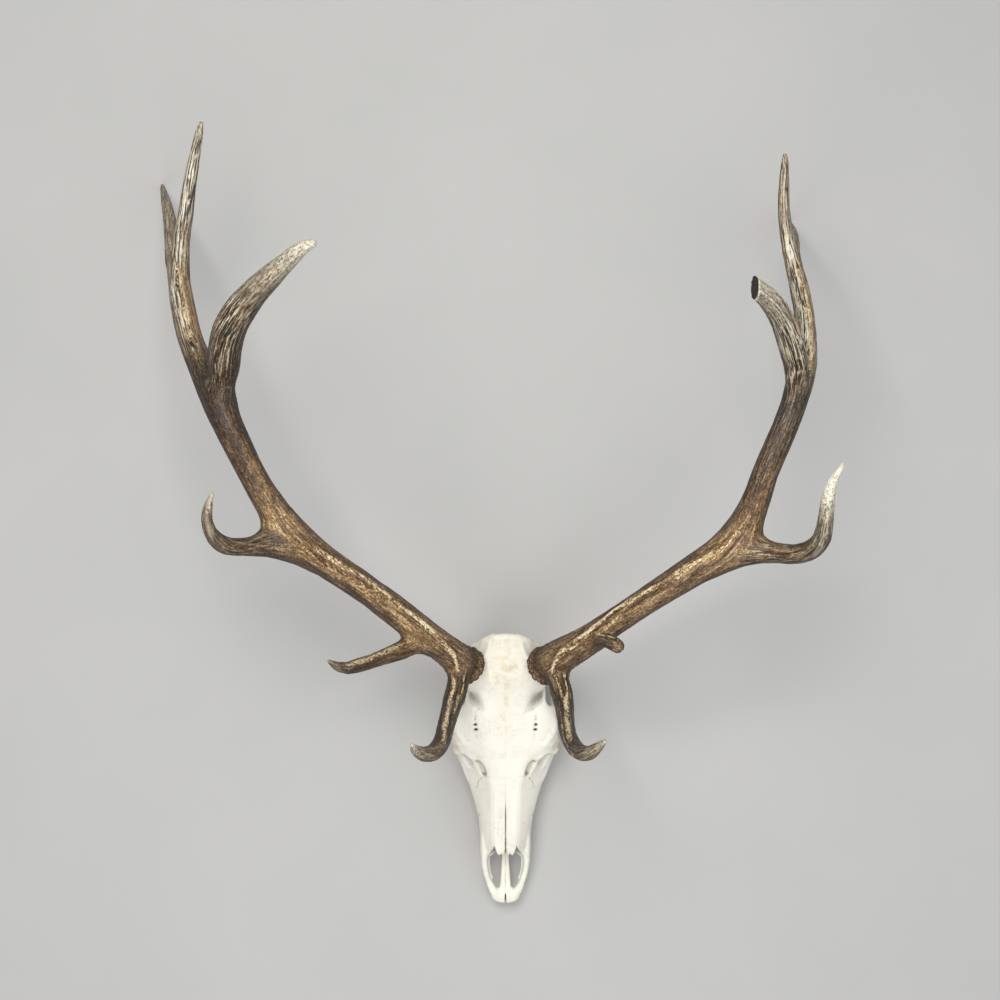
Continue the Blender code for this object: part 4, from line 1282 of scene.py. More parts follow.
@dataclass
class Antler:
    """One antler: beam, burr and five tines, grown as one piece."""

    hand: Side
    stations: dict
    bands: list
    tones: dict
    finish: bpy.types.Material
    voxel: float = 2.0
    webs: dict = field(default_factory=dict)
    broken: bool = False
    blunt_bez: bool = False
    paths: dict = field(default_factory=dict)

    def __post_init__(self) -> None:
        """Samples the centrelines."""
        self.paths = {tube: Path.through(self.stations[tube.value]) for tube in Tube}
        for tube, path in self.paths.items():
            if tube is not Tube.BEAM:
                path.radii = path.radii * (1 - 0.26 * falling(path.along, 5, 75))
        base = self.paths[Tube.BEAM]
        self.foot, self.axis = base.points[0], base.ahead[0]

    def burr_rim(self, bearing: np.ndarray) -> tuple[np.ndarray, np.ndarray]:
        """Radius and half thickness of the burr's rim at a bearing: a circle with uneven lumps."""
        lumps = sum(height * np.cos(count * bearing + start) for height, count, start in BURR_WAVES)
        return BURR_RADIUS * (1 + 0.020 * lumps), BURR_THICKNESS * (1 + 0.06 * lumps)

    def burr_form(self) -> Shell:
        """The burr as a closed band of rings round the beam's foot.

        Returns:
            The closed band.
        """
        base = self.paths[Tube.BEAM]
        angle, loop = turn(96), turn(16)
        rim, thick = self.burr_rim(angle)
        round_way = base.up[0] * np.cos(angle)[:, None] + base.side[0] * np.sin(angle)[:, None]
        centre = self.foot + self.axis * BURR_LIFT
        grid = (centre + round_way[:, None] * (rim[:, None] + thick[:, None] * np.cos(loop))[:, :, None]
                + self.axis * (thick[:, None] * np.sin(loop))[:, :, None])
        count, size = grid.shape[:2]
        index = np.arange(count * size).reshape(count, size)
        next_ring, across = np.roll(index, -1, axis=0), np.roll(index, -1, axis=1)
        both = np.roll(next_ring, -1, axis=1)
        quads = np.stack([index, next_ring, both, across], axis=-1).reshape(-1, 4)
        return Shell(grid.reshape(-1, 3), [quads])

    def cuts(self) -> dict:
        """The flat ends.

        Returns:
            For each tube cut off flat, a point of the cut, the way it faces and how far beyond it lies.
        """
        cuts = {Tube.BEAM: (self.foot, -self.axis, 0.0)}
        if self.broken:
            cuts[Tube.ROYAL] = (BREAK_POINT, unit(np.array(BREAK_FACING)), 0.0)
        if self.blunt_bez:
            path = self.paths[Tube.BEZ]
            cuts[Tube.BEZ] = (path.points[-1], path.ahead[-1], BLUNT_END)
        return cuts

    def field(self, places: np.ndarray) -> tuple[np.ndarray, np.ndarray, dict]:
        """The distance field that the antler's skin lies on.

        Each tube's value is the distance from its centreline less its radius. Two values a
        and b join as mix(b, a, h) - k h (1 - h), with h = 0.5 + 0.5 (b - a) / k held from 0
        to 1, which fills each fork with a rounded web.

        Args:
            places: points, in the skull's frame.

        Returns:
            The value, the direction in which it grows, and each tube's value and bearings.
        """
        located, values, cuts = {}, {}, self.cuts()
        for tube, path in self.paths.items():
            reach = path.radii.max() + FIELD_REACH
            near = np.all((places > path.points.min(0) - reach)
                          & (places < path.points.max(0) + reach), axis=1)
            if tube is Tube.BEAM:
                near[:] = True
            found = path.locate(places[near])
            value = found.distance - found.radius
            way = found.outward
            if tube in cuts:
                point, facing, beyond = cuts[tube]
                past = (places[near] - point) @ facing - beyond
                way = np.where((past > value)[:, None], facing, way)
                value = np.maximum(value, past)
            whole, whole_way = np.full(len(places), FIELD_BEYOND), np.zeros_like(places)
            whole[near], whole_way[near] = value, way
            located[tube] = (near, found)
            values[tube] = (whole, whole_way)
        total, way = values[Tube.BEAM]
        for tube in Tube:
            if tube is not Tube.BEAM:
                facing = located[Tube.BEAM][1].outward @ self.lean(tube)
                web = LEAST_WEB + (self.webs[tube] - LEAST_WEB) * smoothstep(facing, -0.15, 0.55)
                total, way = self.joined(total, way, *values[tube], web)
        total, way = self.joined(total, way, *self.burr_field(places), BURR_WEB)
        return total, unit(way), {tube: (values[tube][0], *located[tube]) for tube in Tube}

    def lean(self, tube: Tube) -> np.ndarray:
        """The way a tine leaves the beam, square to the beam.

        Args:
            tube: the tine.

        Returns:
            A vector of length one.
        """
        beam, tine = self.paths[Tube.BEAM], self.paths[tube]
        heading = tine.points[len(tine.points) // 5] - tine.points[0]
        along = beam.ahead[np.argmin(np.linalg.norm(beam.points - tine.points[0], axis=1))]
        return unit(heading - heading @ along * along)

    @staticmethod
    def joined(a: np.ndarray, a_way: np.ndarray, b: np.ndarray, b_way: np.ndarray,
               k: float | np.ndarray) -> tuple[np.ndarray, np.ndarray]:
        """Two fields joined with a rounded web of size k, as field() says."""
        h = np.clip(0.5 + 0.5 * (b - a) / k, 0, 1)
        return b * (1 - h) + a * h - k * h * (1 - h), b_way * (1 - h[:, None]) + a_way * h[:, None]

    def burr_field(self, places: np.ndarray) -> tuple[np.ndarray, np.ndarray]:
        """Distance to the burr's rim circle less its half thickness, and the way it grows.

        Args:
            places: points, in the skull's frame.

        Returns:
            The distance, and the direction in which it grows.
        """
        base = self.paths[Tube.BEAM]
        offset = places - self.foot - self.axis * BURR_LIFT
        lift = offset @ self.axis
        flat = offset - lift[:, None] * self.axis
        out = unit(flat)
        rim, _ = self.burr_rim(np.arctan2(flat @ base.side[0], flat @ base.up[0]))
        away = np.linalg.norm(flat, axis=1) - rim
        distance = np.hypot(away, lift)
        way = (out * away[:, None] + self.axis * lift[:, None]) / np.maximum(distance, 1e-6)[:, None]
        return distance - BURR_THICKNESS, way

    def toned(self, name: str, located: dict, fork: np.ndarray, owner: np.ndarray) -> np.ndarray:
        """A tone that runs along each tube by its table, faded from beam to tine at the forks.

        Args:
            name: which tone.
            located: each tube's value and bearings, from field().
            fork: 0 on the beam, 1 on a tine.
            owner: the number of the nearest tine.

        Returns:
            One value per vertex.
        """
        parts = np.zeros((len(Tube), len(fork)))
        for row, tube in enumerate(Tube):
            _, near, found = located[tube]
            parts[row, near] = read(self.tones[tube][name], found.along / self.paths[tube].along[-1])
        return parts[0] * (1 - fork) + parts[owner, np.arange(len(fork))] * fork

    def marked(self, mark: Mark, located: dict, fork: np.ndarray,
               owner: np.ndarray) -> tuple[np.ndarray, np.ndarray]:
        """Bell-shaped bands along the tubes.

        Args:
            mark: which bands.
            located: each tube's value and bearings, from field().
            fork: 0 on the beam, 1 on a tine.
            owner: the number of the nearest tine.

        Returns:
            The bands' strength, and that of the shallow troughs on both sides of them.
        """
        light, trough = np.zeros(len(fork)), np.zeros(len(fork))
        tubes = list(Tube)
        for band in (item for item in self.bands if item.mark is mark):
            _, near, found = located[band.tube]
            path = self.paths[band.tube]
            share = found.along / path.along[-1]
            lean = np.unwrap(np.arctan2(path.side[:, 2], path.up[:, 2]))
            bearings = np.interp(share, np.linspace(band.start, band.end, len(band.bearing)),
                                 np.radians(band.bearing))
            line = np.interp(found.along, path.along, lean) + bearings
            away = np.angle(np.exp(1j * (np.arctan2(found.sine, found.cosine) - line))) * found.radius
            window = (smoothstep(share, band.start, band.start + 0.03)
                      * falling(share, band.end - 0.06, band.end))
            rod = found.straightened(0.0)
            strength = window * band.strength
            if mark is Mark.RUBBED:
                length = rod * (0, 0, 1)
                away = away + 1.2 * noise(length, 30.0, 5) + 0.5 * noise(length, 9.0, 6)
                away = away / (1 + 0.6 * noise(length, 30.0, 9))
                strength = strength * (0.4 + 0.6 * smoothstep(noise(rod, (6, 6, 28), 8), -0.5, 0.25))
            owned = 1 - fork[near] if band.tube is Tube.BEAM else fork[near] * (
                owner[near] == tubes.index(band.tube))
            light[near] = np.maximum(light[near], bell(away, band.width) * strength * owned)
            side = bell(np.abs(away) - 2.1 * band.width, 0.9 * band.width)
            trough[near] = np.maximum(trough[near], side * window * owned)
        return light, trough

    def carved(self, located: dict, fork: np.ndarray, owner: np.ndarray, stripe: np.ndarray,
               grit: np.ndarray, places: np.ndarray) -> tuple[np.ndarray, np.ndarray, np.ndarray]:
        """Relief of the skin, in millimetres, and the straightened places along beam and tine.

        Gutters are narrow dents where stretched noise passes zero, between broad ridges.
        Pearls rise where the surface is gritty.

        Args:
            located: each tube's value and bearings, from field().
            fork: 0 on the beam, 1 on a tine.
            owner: the number of the nearest tine.
            stripe: how deep the gutters are, from 0 to 1.
            grit: how high the pearls rise.
            places: the vertices, in the skull's frame.

        Returns:
            The relief, and the places on the beam's rod and on the tine's.
        """
        rods = []
        for kind in ("beam", "tine"):
            rod = np.zeros((len(fork), 3))
            for number, tube in enumerate(Tube):
                _, near, found = located[tube]
                if (tube is Tube.BEAM) == (kind == "beam"):
                    keep = np.ones(len(found.along), bool) if kind == "beam" else owner[near] == number
                    chosen = np.flatnonzero(near)[keep]
                    rod[chosen] = found.straightened(ROD_SPACING * number)[keep]
            rods.append(rod)
        reliefs = []
        for rod in rods:
            wide = noise(rod, (7.5, 7.5, 70), 31)
            narrow = noise(rod, (4.6, 4.6, 44), 37)
            gutters = (1 - np.abs(wide)) ** 5 * 0.9 + (1 - np.abs(narrow)) ** 6 * 0.5
            swells = 0.35 * noise(rod, (13, 13, 80), 41) + 0.35 * layered(rod, 12.0, 43, 2)
            reliefs.append(swells - gutters + 0.38)
        relief = reliefs[0] * (1 - fork) + reliefs[1] * fork
        relief = relief * (0.40 + 0.60 * stripe)
        bumps = pearls(places, 5.2, 51) * 1.5 + pearls(places, 3.4, 57) * 0.7 - 0.45
        relief = relief + bumps * grit + 0.12 * layered(places, 5.0, 61, 2)
        return relief, rods[0], rods[1]

    def drawn(self) -> tuple[Skin, dict]:
        """Fuses the tubes and draws their skin onto the field.

        Returns:
            The skin, and each tube's value and bearings at its vertices.
        """
        forms = Shell.joined([path.tube(28) for path in self.paths.values()] + [self.burr_form()])
        skin = Skin(fused(f"antler_{self.hand.label}", forms, self.voxel))
        for _ in range(3):
            value, way, _ = self.field(skin.places)
            skin.places = skin.places - np.clip(value, -6, 6)[:, None] * way
            skin.relax(2, 0.4)
        value, way, located = self.field(skin.places)
        skin.places = skin.places - np.clip(value, -2, 2)[:, None] * way
        return skin, located

    def build(self) -> None:
        """Draws the skin, carves it and stores its tones."""
        skin, located = self.drawn()
        tines = np.stack([located[tube][0] for tube in Tube])
        owner = 1 + np.argmin(tines[1:], axis=0)
        fork = smoothstep(tines[0] - tines[owner, np.arange(tines.shape[1])], -7, 7)
        # The fourth tone is painted shade, read along each tube from its table.
        pale, stripe, grit, dim = (self.toned(name, located, fork, owner)
                                   for name in ("pale", "stripe", "grit", "dim"))
        foot = np.linalg.norm(skin.places - self.foot - self.axis * 6, axis=1)
        burr = falling(foot, 30, 62)
        grit = np.maximum(grit, burr)
        bands = {mark: self.marked(mark, located, fork, owner) for mark in Mark}
        light, trough = bands[Mark.RUBBED]
        amber, crack = bands[Mark.AMBER][0], bands[Mark.CRACK][0]
        stripe = np.maximum(stripe, bands[Mark.STRIPED][0])
        smooth = np.clip(light * 1.5, 0, 1)
        burr, grit = burr * (1 - 0.9 * smooth), grit * (1 - 0.8 * smooth)
        relief, beam_place, tine_place = self.carved(located, fork, owner, stripe, grit, skin.places)
        relief = relief - 0.9 * trough - 2.0 * crack
        snapped = np.zeros(len(fork))
        if self.broken:
            past = (skin.places - BREAK_POINT) @ unit(np.array(BREAK_FACING))
            rim = located[Tube.ROYAL][0] < 4
            snapped = smoothstep(past, -1.4, -0.3) * rim
            pale = np.maximum(pale, 0.95 * bell(past + 3.0, 3.0) * rim)
            relief = relief * (1 - snapped) + snapped * (0.6 * layered(skin.places, 4.0, 71) - 0.4)
        normal = skin.normals()
        lift = (relief + 0.8 * light) * smoothstep((skin.places - self.foot) @ self.axis, 0.2, 2.0)
        skin.places = skin.places + normal * lift[:, None]
        low, high = (np.array(corner) / MM - (MIDLINE_X, NOSE_TIP_Y, 0.0) for corner in CAD_BOX)
        skin.places = np.clip(skin.places, low, high)
        # Lighter where the skin faces up: partly wear, partly painted light; the sides that face away get
        # painted shade.
        worn = smoothstep(normal[:, 2] + 0.15 * normal[:, 1], -0.15, 0.85)
        looks = {"pale": pale, "stripe": stripe, "burr": burr, "shine": light, "amber": amber,
                 "crack": crack, "dim": dim, "relief": np.clip(relief, -1.5, 1.5), "fork": fork,
                 "snapped": snapped, "worn": worn, "beam_place": beam_place, "tine_place": tine_place}
        for name, values in looks.items():
            skin.attribute(name, values)
        skin.store()
        nodes = [f"{self.hand.label}_{name}"
                 for name in ("beam_lower", "beam_upper", "crown_tine", "brow_tine", "bez_tine", "trez_tine",
                              "royal_tine", "rear_tine")]
        show(f"antler_{self.hand.label}", skin.mesh, self.finish, "antler_brown", *nodes)


@dataclass
class NasalBones:
    """The two long bones that roof the nose, each with a forked tip."""

    bone: bpy.types.Material
    thickness: float = 4.2
    proud: float = 0.6
    across: int = 44
    lengthwise: int = 120
    roof_points: int = 24
    half_width: int = 24

    def roof(self, x: np.ndarray, y: np.ndarray) -> np.ndarray:
        """Height of the cranium's roof, from its tabled sections.

        Args:
            x: distances from the midline.
            y: places along the nose.

        Returns:
            One row of heights per y, one height per x.
        """
        rings = Cranium(self.bone).core()
        half = rings[:, :self.roof_points]
        heights = np.stack([np.interp(x, ring[:, 0], ring[:, 2]) for ring in half])
        depth = half[:, 0, 1]
        place = np.interp(y, depth, np.arange(len(depth)))
        low = np.clip(np.floor(place).astype(int), 0, len(depth) - 2)
        t = np.clip(place - low, 0, 1)
        ahead = np.minimum(y - depth[0], 0) * 0.16
        rows = heights[low] * (1 - t)[:, None] + heights[low + 1] * t[:, None]
        return rows + ahead[:, None]

    def build(self) -> None:
        """One bone a side: across its width u and along its length v.

        The top is the roof's height plus a little, arched as 1 - (2u - 1)² and rounded
        off at both edges. The tip is cut into two prongs, whose length follows u.
        """
        u = np.linspace(0, 1, self.across)
        y = 88 + 173 * np.linspace(0, 1, self.lengthwise) ** 1.2
        edge = read(NASAL_EDGE, y)
        gap = 0.62 - 0.56 * smoothstep(y, 150, 185)
        sample = np.linspace(0, self.half_width, 97)
        heights = self.roof(sample, y)
        stations = np.interp(u, [share for share, _ in NASAL_TIP], range(len(NASAL_TIP)))
        prong = catmull(np.array(NASAL_TIP), stations)[:, 1]
        for hand in Side:
            x = gap[:, None] + (edge - gap)[:, None] * u
            depth_y = y[:, None] + prong * falling(y, 88, 116)[:, None]
            top = np.stack([np.interp(row_x, sample, row_z) for row_x, row_z in zip(x, heights)])
            arch = self.proud + 0.5 * (1 - (2 * u - 1) ** 2)
            rim = 1.6 * np.clip(1 - u / 0.06, 0, 1) ** 2 * falling(y, 140, 178)[:, None]
            rim = rim + 2.2 * np.clip((u - 0.93) / 0.07, 0, 1) ** 2
            fade = smoothstep(y, 180, 232)[:, None]
            top = top + (arch - rim) * (1 - fade) - 2.4 * fade
            under = top - self.thickness * (0.55 + 0.45 * smoothstep(y, 90, 130))[:, None]
            under = under + 1.2 * np.clip(1 - u / 0.08, 0, 1)
            surface, below = (np.stack([hand.value * x, depth_y, z], axis=-1) for z in (top, under))
            rings = np.concatenate([surface, below[:, ::-1]], axis=1)
            skin = Skin(ring_shell(rings).mesh(f"nasal_{hand.label}"))
            side, ahead = np.abs(skin.places[:, 0]), skin.places[:, 1]
            # Painted shade along the midline gap between the two bones.
            plain_bone(skin, hollow=0.8 * bell(side, 1.2) * falling(ahead, 160, 190),
                       stain=0.3 * bell(side, 9.0), rose=0.4 * falling(ahead, 90, 99))
            show(f"nasal_{hand.label}", skin.mesh, self.bone, "bleached_bone", f"nasal_bone_{hand.label}")


@dataclass
class Premaxillae:
    """The two bones round the nose opening: outer bar, front plate and midline process."""

    bone: bpy.types.Material
    voxel: float = 1.0
    split: float = 0.07

    @staticmethod
    def wall() -> Shell:
        """The side wall of the nose, which carries the cranium's outline on to the nose opening.

        At each depth it follows the tabled half section from the opening's border down to
        the jaw, lowered towards the tip, and is as thick as its inward offset. Behind the
        joint it lies a little under the cranium's skin.

        Returns:
            The right side's wall, as a closed shell.
        """
        depths = np.linspace(80, 128, 34)
        near, far = (np.array(SECTIONS[y], float) for y in (100.0, 140.0))
        rings = []
        for y, border, scale in zip(depths, *(np.interp(depths, [row[0] for row in NOSE_BORDER], column)
                                              for column in list(zip(*NOSE_BORDER))[1:])):
            half = near + (far - near) * (y - 100) / 40
            first = np.interp(border, half[:6, 0], np.arange(6))
            outer = catmull(half, np.linspace(first, 6.2, 30))
            outer[:, 1] = 29 + (outer[:, 1] - 29) * scale
            slope = unit(np.gradient(outer, axis=0))
            inward = np.stack([slope[:, 1], -slope[:, 0]], axis=1)
            outer = outer + inward * 0.7 * float(smoothstep(np.array(y), 104, 109))
            inner = outer + inward * 5.5
            ring = np.vstack([outer, inner[::-1]])
            rings.append(np.column_stack([ring[:, 0], np.full(len(ring), y), ring[:, 1]]))
        return ring_shell(np.array(rings))

    def build(self) -> None:
        """Fuses each side's forms, opens the notch at the tip and relaxes the skin."""
        forms = [oval_sweep(PREMAXILLA_BAR, 60, power=0.85), oval_sweep(PALATINE_PROCESS, 50, power=0.9),
                 self.wall(), oval_sweep(PREMAXILLA_SHELF, 40), oval_sweep(PREMAXILLA_FLOOR, 24),
                 ellipsoid(PREMAXILLA_PLATE)]
        right = Shell.joined(forms)
        for hand in Side:
            shell = right if hand is Side.RIGHT else right.mirrored()
            skin = Skin(fused(f"premaxilla_{hand.label}", shell, self.voxel))
            skin.relax(10, 0.5)
            px, py, pz = skin.places.T
            side = np.abs(px) * np.where(np.sign(px) == hand.value, 1, -1)
            notch = self.split + 1.3 * falling(py, 13, 19) * smoothstep(pz, 25.5, 28.5)
            side = np.maximum(side, notch)
            skin.places[:, 0] = hand.value * side
            skin.places[:, 1] = np.maximum(py, 0.4)
            skin.places = skin.places + skin.normals() * (0.16 * layered(skin.places, 6.0, 81))[:, None]
            skin.places[:, 1] = np.maximum(skin.places[:, 1], 0.2)
            # Painted shade in the nose cavity behind the strut: the hollow term, the second stain term and
            # the near black on its walls; the bottom of the notch at the tip is painted black as its shadow.
            hollow = skin.hollow(14) + 1.6 * smoothstep(py, 72, 100) * falling(pz, 30, 44)
            stain = 0.2 * bell(py - 8, 9) + 0.9 * smoothstep(py, 76, 92) * falling(pz, 34, 48)
            painted_notch_shadow = falling(side, 1.6, 2.4) * falling(py, 17, 20) * falling(pz, 30, 34)
            painted_cavity_shade = 0.62 * smoothstep(py, 80, 90) * falling(pz, 34, 44) * falling(side, 27, 31)
            plain_bone(skin, hollow=hollow, stain=stain, pit=np.maximum(painted_notch_shadow, painted_cavity_shade))
            skin.store()
            show(f"premaxilla_bone_{hand.label}", skin.mesh, self.bone, "bleached_bone",
                 f"premaxilla_{hand.label}")


@dataclass
class CheekTeeth:
    """Six worn upper teeth a side, each a two-lobed block sunk in the jaw."""

    enamel: bpy.types.Material
    sunk: float = 6.0
    around: int = 64
    levels: int = 18
    face_rings: int = 12

    def tooth(self, hand: Side, number: int) -> bpy.types.Mesh:
        """One tooth.

        Its outline is a squared oval pinched between two lobes, with upright ribs on the
        cheek side. Rings rise from the worn face into the jaw, and more rings shrink
        across the worn face, which dips in two crescents.

        Args:
            hand: which side.
            number: 1 for the foremost tooth, to 6.

        Returns:
            The tooth's mesh.
        """
        x, y, wide, long = TEETH[number - 1]
        angle = turn(self.around)
        across, forward = signed_power(np.cos(angle), 0.65), signed_power(np.sin(angle), 0.65)
        lobes = 1 if number < 4 else 2
        pinch = 1 - (0.16 if lobes == 2 else 0.07) * bell(forward, 0.26) * np.abs(across)
        ribs = 1 + 0.05 * np.cos(forward * math.pi * lobes * 2) * smoothstep(across * hand.value, 0.2, 0.9)
        level = np.linspace(0, 1, self.levels)[:, None]
        share = 0.87 + 0.15 * np.sin(np.clip(level * 1.7, 0, 1) * math.pi / 2) - 0.10 * level**2
        rise = level * (TOOTH_HEIGHT + self.sunk)
        wall = np.stack([x + wide * share * across * pinch * ribs, y + long * share * forward,
                         rise + 0 * angle], axis=-1)
        inward = np.linspace(0.98, 0.05, self.face_rings)[:, None]
        crescent = 0.45 if lobes == 2 else 0
        dip = 1.4 * bell(inward * across, 0.30) * bell(np.abs(inward * forward) - crescent, 0.3)
        face = np.stack([x + wide * 0.87 * inward * across * pinch * ribs, y + long * 0.87 * inward * forward,
                         dip], axis=-1)
        rings = np.concatenate([face[::-1], wall], axis=0)
        rings[:, :, 0] *= hand.value
        skin = Skin(ring_shell(rings).mesh(f"cheek_tooth_{number}"))
        depth = np.concatenate([dip[::-1].ravel() / 1.4, np.zeros(self.levels * self.around), [1.0, 0.0]])
        fold = np.concatenate([np.zeros(self.face_rings * self.around),
                               np.tile(bell(forward, 0.3), self.levels), [0.0, 0.0]])
        skin.attribute("worn_hollow", 0.85 * smoothstep(depth, 0.25, 0.8))
        skin.attribute("fold", fold)
        return skin.mesh

    def build(self) -> None:
        """All twelve teeth."""
        for hand, number in itertools.product(Side, range(1, len(TEETH) + 1)):
            show(f"cheek_tooth_{hand.label}_{number}", self.tooth(hand, number), self.enamel, "tooth_enamel",
                 f"tooth_{hand.label}_{number}")


@dataclass
class Studio:
    """Pale floor, soft lights from above and the camera that looks down on the skull."""

    camera_place: tuple = (0.041, 0.0475, 3.0)
    lens: float = 64.8
    sensor: float = 36.0
    clip: tuple = (0.1, 50.0)
    floor_half: float = 6.0
    floor_level: float = -0.0006
    sky: tuple = (0.96, 0.97, 1.0, 1.0)
    sky_strength: float = 0.34
    lights: tuple = (("key", (-0.35, 1.05, 2.9), 1.4, 55.0, (1.0, 0.985, 0.955)),
                     ("fill", (1.5, -0.4, 2.6), 2.2, 18.0, (0.97, 0.985, 1.0)),
                     ("front", (-0.5, -1.7, 2.3), 1.8, 24.0, (1.0, 1.0, 1.0)))

    def light(self, name: str, place: tuple, size: float, power: float, colour: tuple) -> None:
        """A square soft light that faces the middle of the object.

        Args:
            name: the light's name.
            place: where it hangs, in metres.
            size: its side, in metres.
            power: its power, in watts.
            colour: its colour.
        """
        lamp = bpy.data.lights.new(name, "AREA")
        lamp.size, lamp.energy, lamp.color = size, power, colour
        holder = bpy.data.objects.new(name, lamp)
        holder.location = place
        way = -Vector(place) + Vector((0.0, 0.0, 0.2))
        holder.rotation_mode = "QUATERNION"
        holder.rotation_quaternion = way.to_track_quat("-Z", "Y")
        holder.visible_camera = False
        bpy.context.scene.collection.objects.link(holder)

    def floor(self) -> None:
        """A flat pale floor with a faint mottle."""
        half = self.floor_half
        mesh = bpy.data.meshes.new("floor")
        corners = [(-half, -half, 0), (half, -half, 0), (half, half, 0), (-half, half, 0)]
        mesh.from_pydata(corners, [], [(0, 1, 2, 3)])
        g = Graph("floor_looks")
        tone = g.noise(3.0, 4.0)
        colour = g.mix(srgb(186, 186, 184), srgb(196, 195, 193), tone)
        mesh.materials.append(g.finish(colour, 0.85 + tone * 0.05, tone, 0.0001, {"Specular IOR Level": 0.2}))
        floor = bpy.data.objects.new("floor", mesh)
        floor.location = (0, 0, self.floor_level)
        bpy.context.scene.collection.objects.link(floor)

    def build(self) -> None:
        """Floor, lights, world and camera."""
        self.floor()
        for light in self.lights:
            self.light(*light)
        world = bpy.data.worlds.new("studio")
        world.use_nodes = True
        sky = world.node_tree.nodes["Background"].inputs
        sky["Color"].default_value, sky["Strength"].default_value = self.sky, self.sky_strength
        bpy.context.scene.world = world
        bpy.context.scene.view_settings.view_transform = "Standard"
        camera = bpy.data.cameras.new("camera")
        camera.sensor_width, camera.lens = self.sensor, self.lens
        camera.clip_start, camera.clip_end = self.clip
        holder = bpy.data.objects.new("camera", camera)
        holder.location = self.camera_place
        bpy.context.scene.collection.objects.link(holder)
        bpy.context.scene.camera = holder


def tone(pale: list, stripe: list, grit: list, dim: list) -> dict:
    """Tones of one tube, each as (share of its length, value) pairs."""
    return {"pale": pale, "stripe": stripe, "grit": grit, "dim": dim}


WEBS = {Tube.BROW: 15.0, Tube.BEZ: 16.0, Tube.TREZ: 34.0, Tube.ROYAL: 24.0, Tube.REAR: 12.0}
# Each tube's tones: pale, stripe, grit, then painted shade along it, where a value below 0 paints light.
LEFT_TONES = {
    Tube.BEAM: tone([(0, 0), (0.42, 0.02), (0.55, 0.08), (0.66, 0.28), (0.85, 0.42), (0.96, 0.56), (1, 0.62)],
                    [(0, 0.10), (0.5, 0.06), (0.62, 0.15), (0.84, 0.3), (0.92, 0.75), (1, 0.4)],
                    [(0, 0.9), (0.08, 0.4), (0.2, 0.12), (0.5, 0.05), (1, 0)],
                    [(0, 0.2), (0.06, 0), (0.35, 0.15), (0.4, 0.05), (0.46, 0.5), (0.55, 1.15), (0.61, 1.15),
                     (0.66, 0.35), (0.71, 0), (1, 0)]),
    Tube.BROW: tone([(0, 0), (0.68, 0.05), (0.8, 0.30), (0.9, 0.55), (1, 0.8)],
                    [(0, 0.35), (0.7, 0.3), (1, 0.1)], [(0, 0.7), (0.4, 0.3), (0.8, 0.05), (1, 0)],
                    [(0, 0.45), (0.25, 0.75), (0.66, 0.7), (0.84, 0.1), (1, 0)]),
    Tube.BEZ: tone([(0, 0), (0.75, 0.08), (0.93, 0.42), (1, 0.7)], [(0, 0.1), (1, 0.1)],
                   [(0, 0.3), (0.6, 0.1), (1, 0)], [(0, 0.2), (0.3, 0.2), (0.8, 0.1), (1, 0)]),
    Tube.TREZ: tone([(0, 0.05), (0.3, 0.18), (0.6, 0.32), (0.8, 0.52), (1, 0.80)],
                    [(0, 0.05), (0.5, 0.25), (0.9, 0.25), (1, 0)], [(0, 0.1), (0.5, 0), (1, 0)],
                    [(0, 0.2), (0.3, 0.7), (0.6, 0.55), (0.8, 0.1), (1, 0)]),
    Tube.ROYAL: tone([(0, 0.15), (0.3, 0.25), (0.5, 0.40), (0.65, 0.54), (0.8, 0.70), (1, 0.84)],
                     [(0, 0.15), (0.2, 0.7), (0.5, 0.85), (0.62, 0.35), (0.8, 0.05), (1, 0)],
                     [(0, 0.1), (0.5, 0.25), (0.7, 0.2), (1, 0)],
                     [(0, 1.2), (0.22, 1.0), (0.5, 0.45), (0.7, 0.1), (1, 0)]),
    Tube.REAR: tone([(0, 0.3), (0.6, 0.35), (0.9, 0.5), (1, 0.6)], [(0, 0.3), (0.7, 0.3), (1, 0.1)],
                    [(0, 0), (1, 0)], [(0, 0.2), (1, 0)]),
}
RIGHT_TONES = {
    **LEFT_TONES,
    Tube.BEAM: tone([(0, 0), (0.42, 0.02), (0.52, 0.12), (0.60, 0.34), (0.72, 0.36), (0.85, 0.36), (1, 0.42)],
                    [(0, 0.10), (0.5, 0.08), (0.60, 0.30), (0.70, 0.40), (0.84, 0.3), (0.95, 0.4), (1, 0.3)],
                    [(0, 0.9), (0.08, 0.4), (0.2, 0.12), (0.5, 0.05), (1, 0)],
                    [(0, 0.25), (0.1, 0.15), (0.3, 0.25), (0.37, 0), (0.44, 0.35), (0.55, 1.05), (0.61, 1.5),
                     (0.645, 0.45), (0.67, -0.2), (0.72, -0.05), (0.85, 0), (0.93, 0.15), (1, 0)]),
    Tube.BEZ: tone([(0, 0), (1, 0.03)], [(0, 0.1), (1, 0.15)], [(0, 0.4), (0.6, 0.2), (1, 0.2)],
                   [(0, 0.3), (1, 0.3)]),
    Tube.TREZ: tone([(0, 0.05), (0.3, 0.15), (0.54, 0.32), (0.70, 0.56), (0.82, 0.80), (0.9, 1), (1, 1)],
                    [(0, 0.1), (0.4, 0.35), (0.7, 0.45), (0.8, 0.1), (1, 0)], [(0, 0.1), (0.5, 0), (1, 0)],
                    [(0, 0.1), (0.3, 0.35), (0.5, 0.45), (0.65, 0.1), (1, 0)]),
    Tube.ROYAL: tone([(0, 0.25), (0.4, 0.46), (0.7, 0.60), (1, 0.74)],
                     [(0, 0.35), (0.35, 0.8), (0.7, 0.5), (1, 0.1)], [(0, 0.1), (0.7, 0.1), (1, 0.2)],
                     [(0, 0.9), (0.25, 0.5), (0.4, 0), (1, -0.15)]),
}
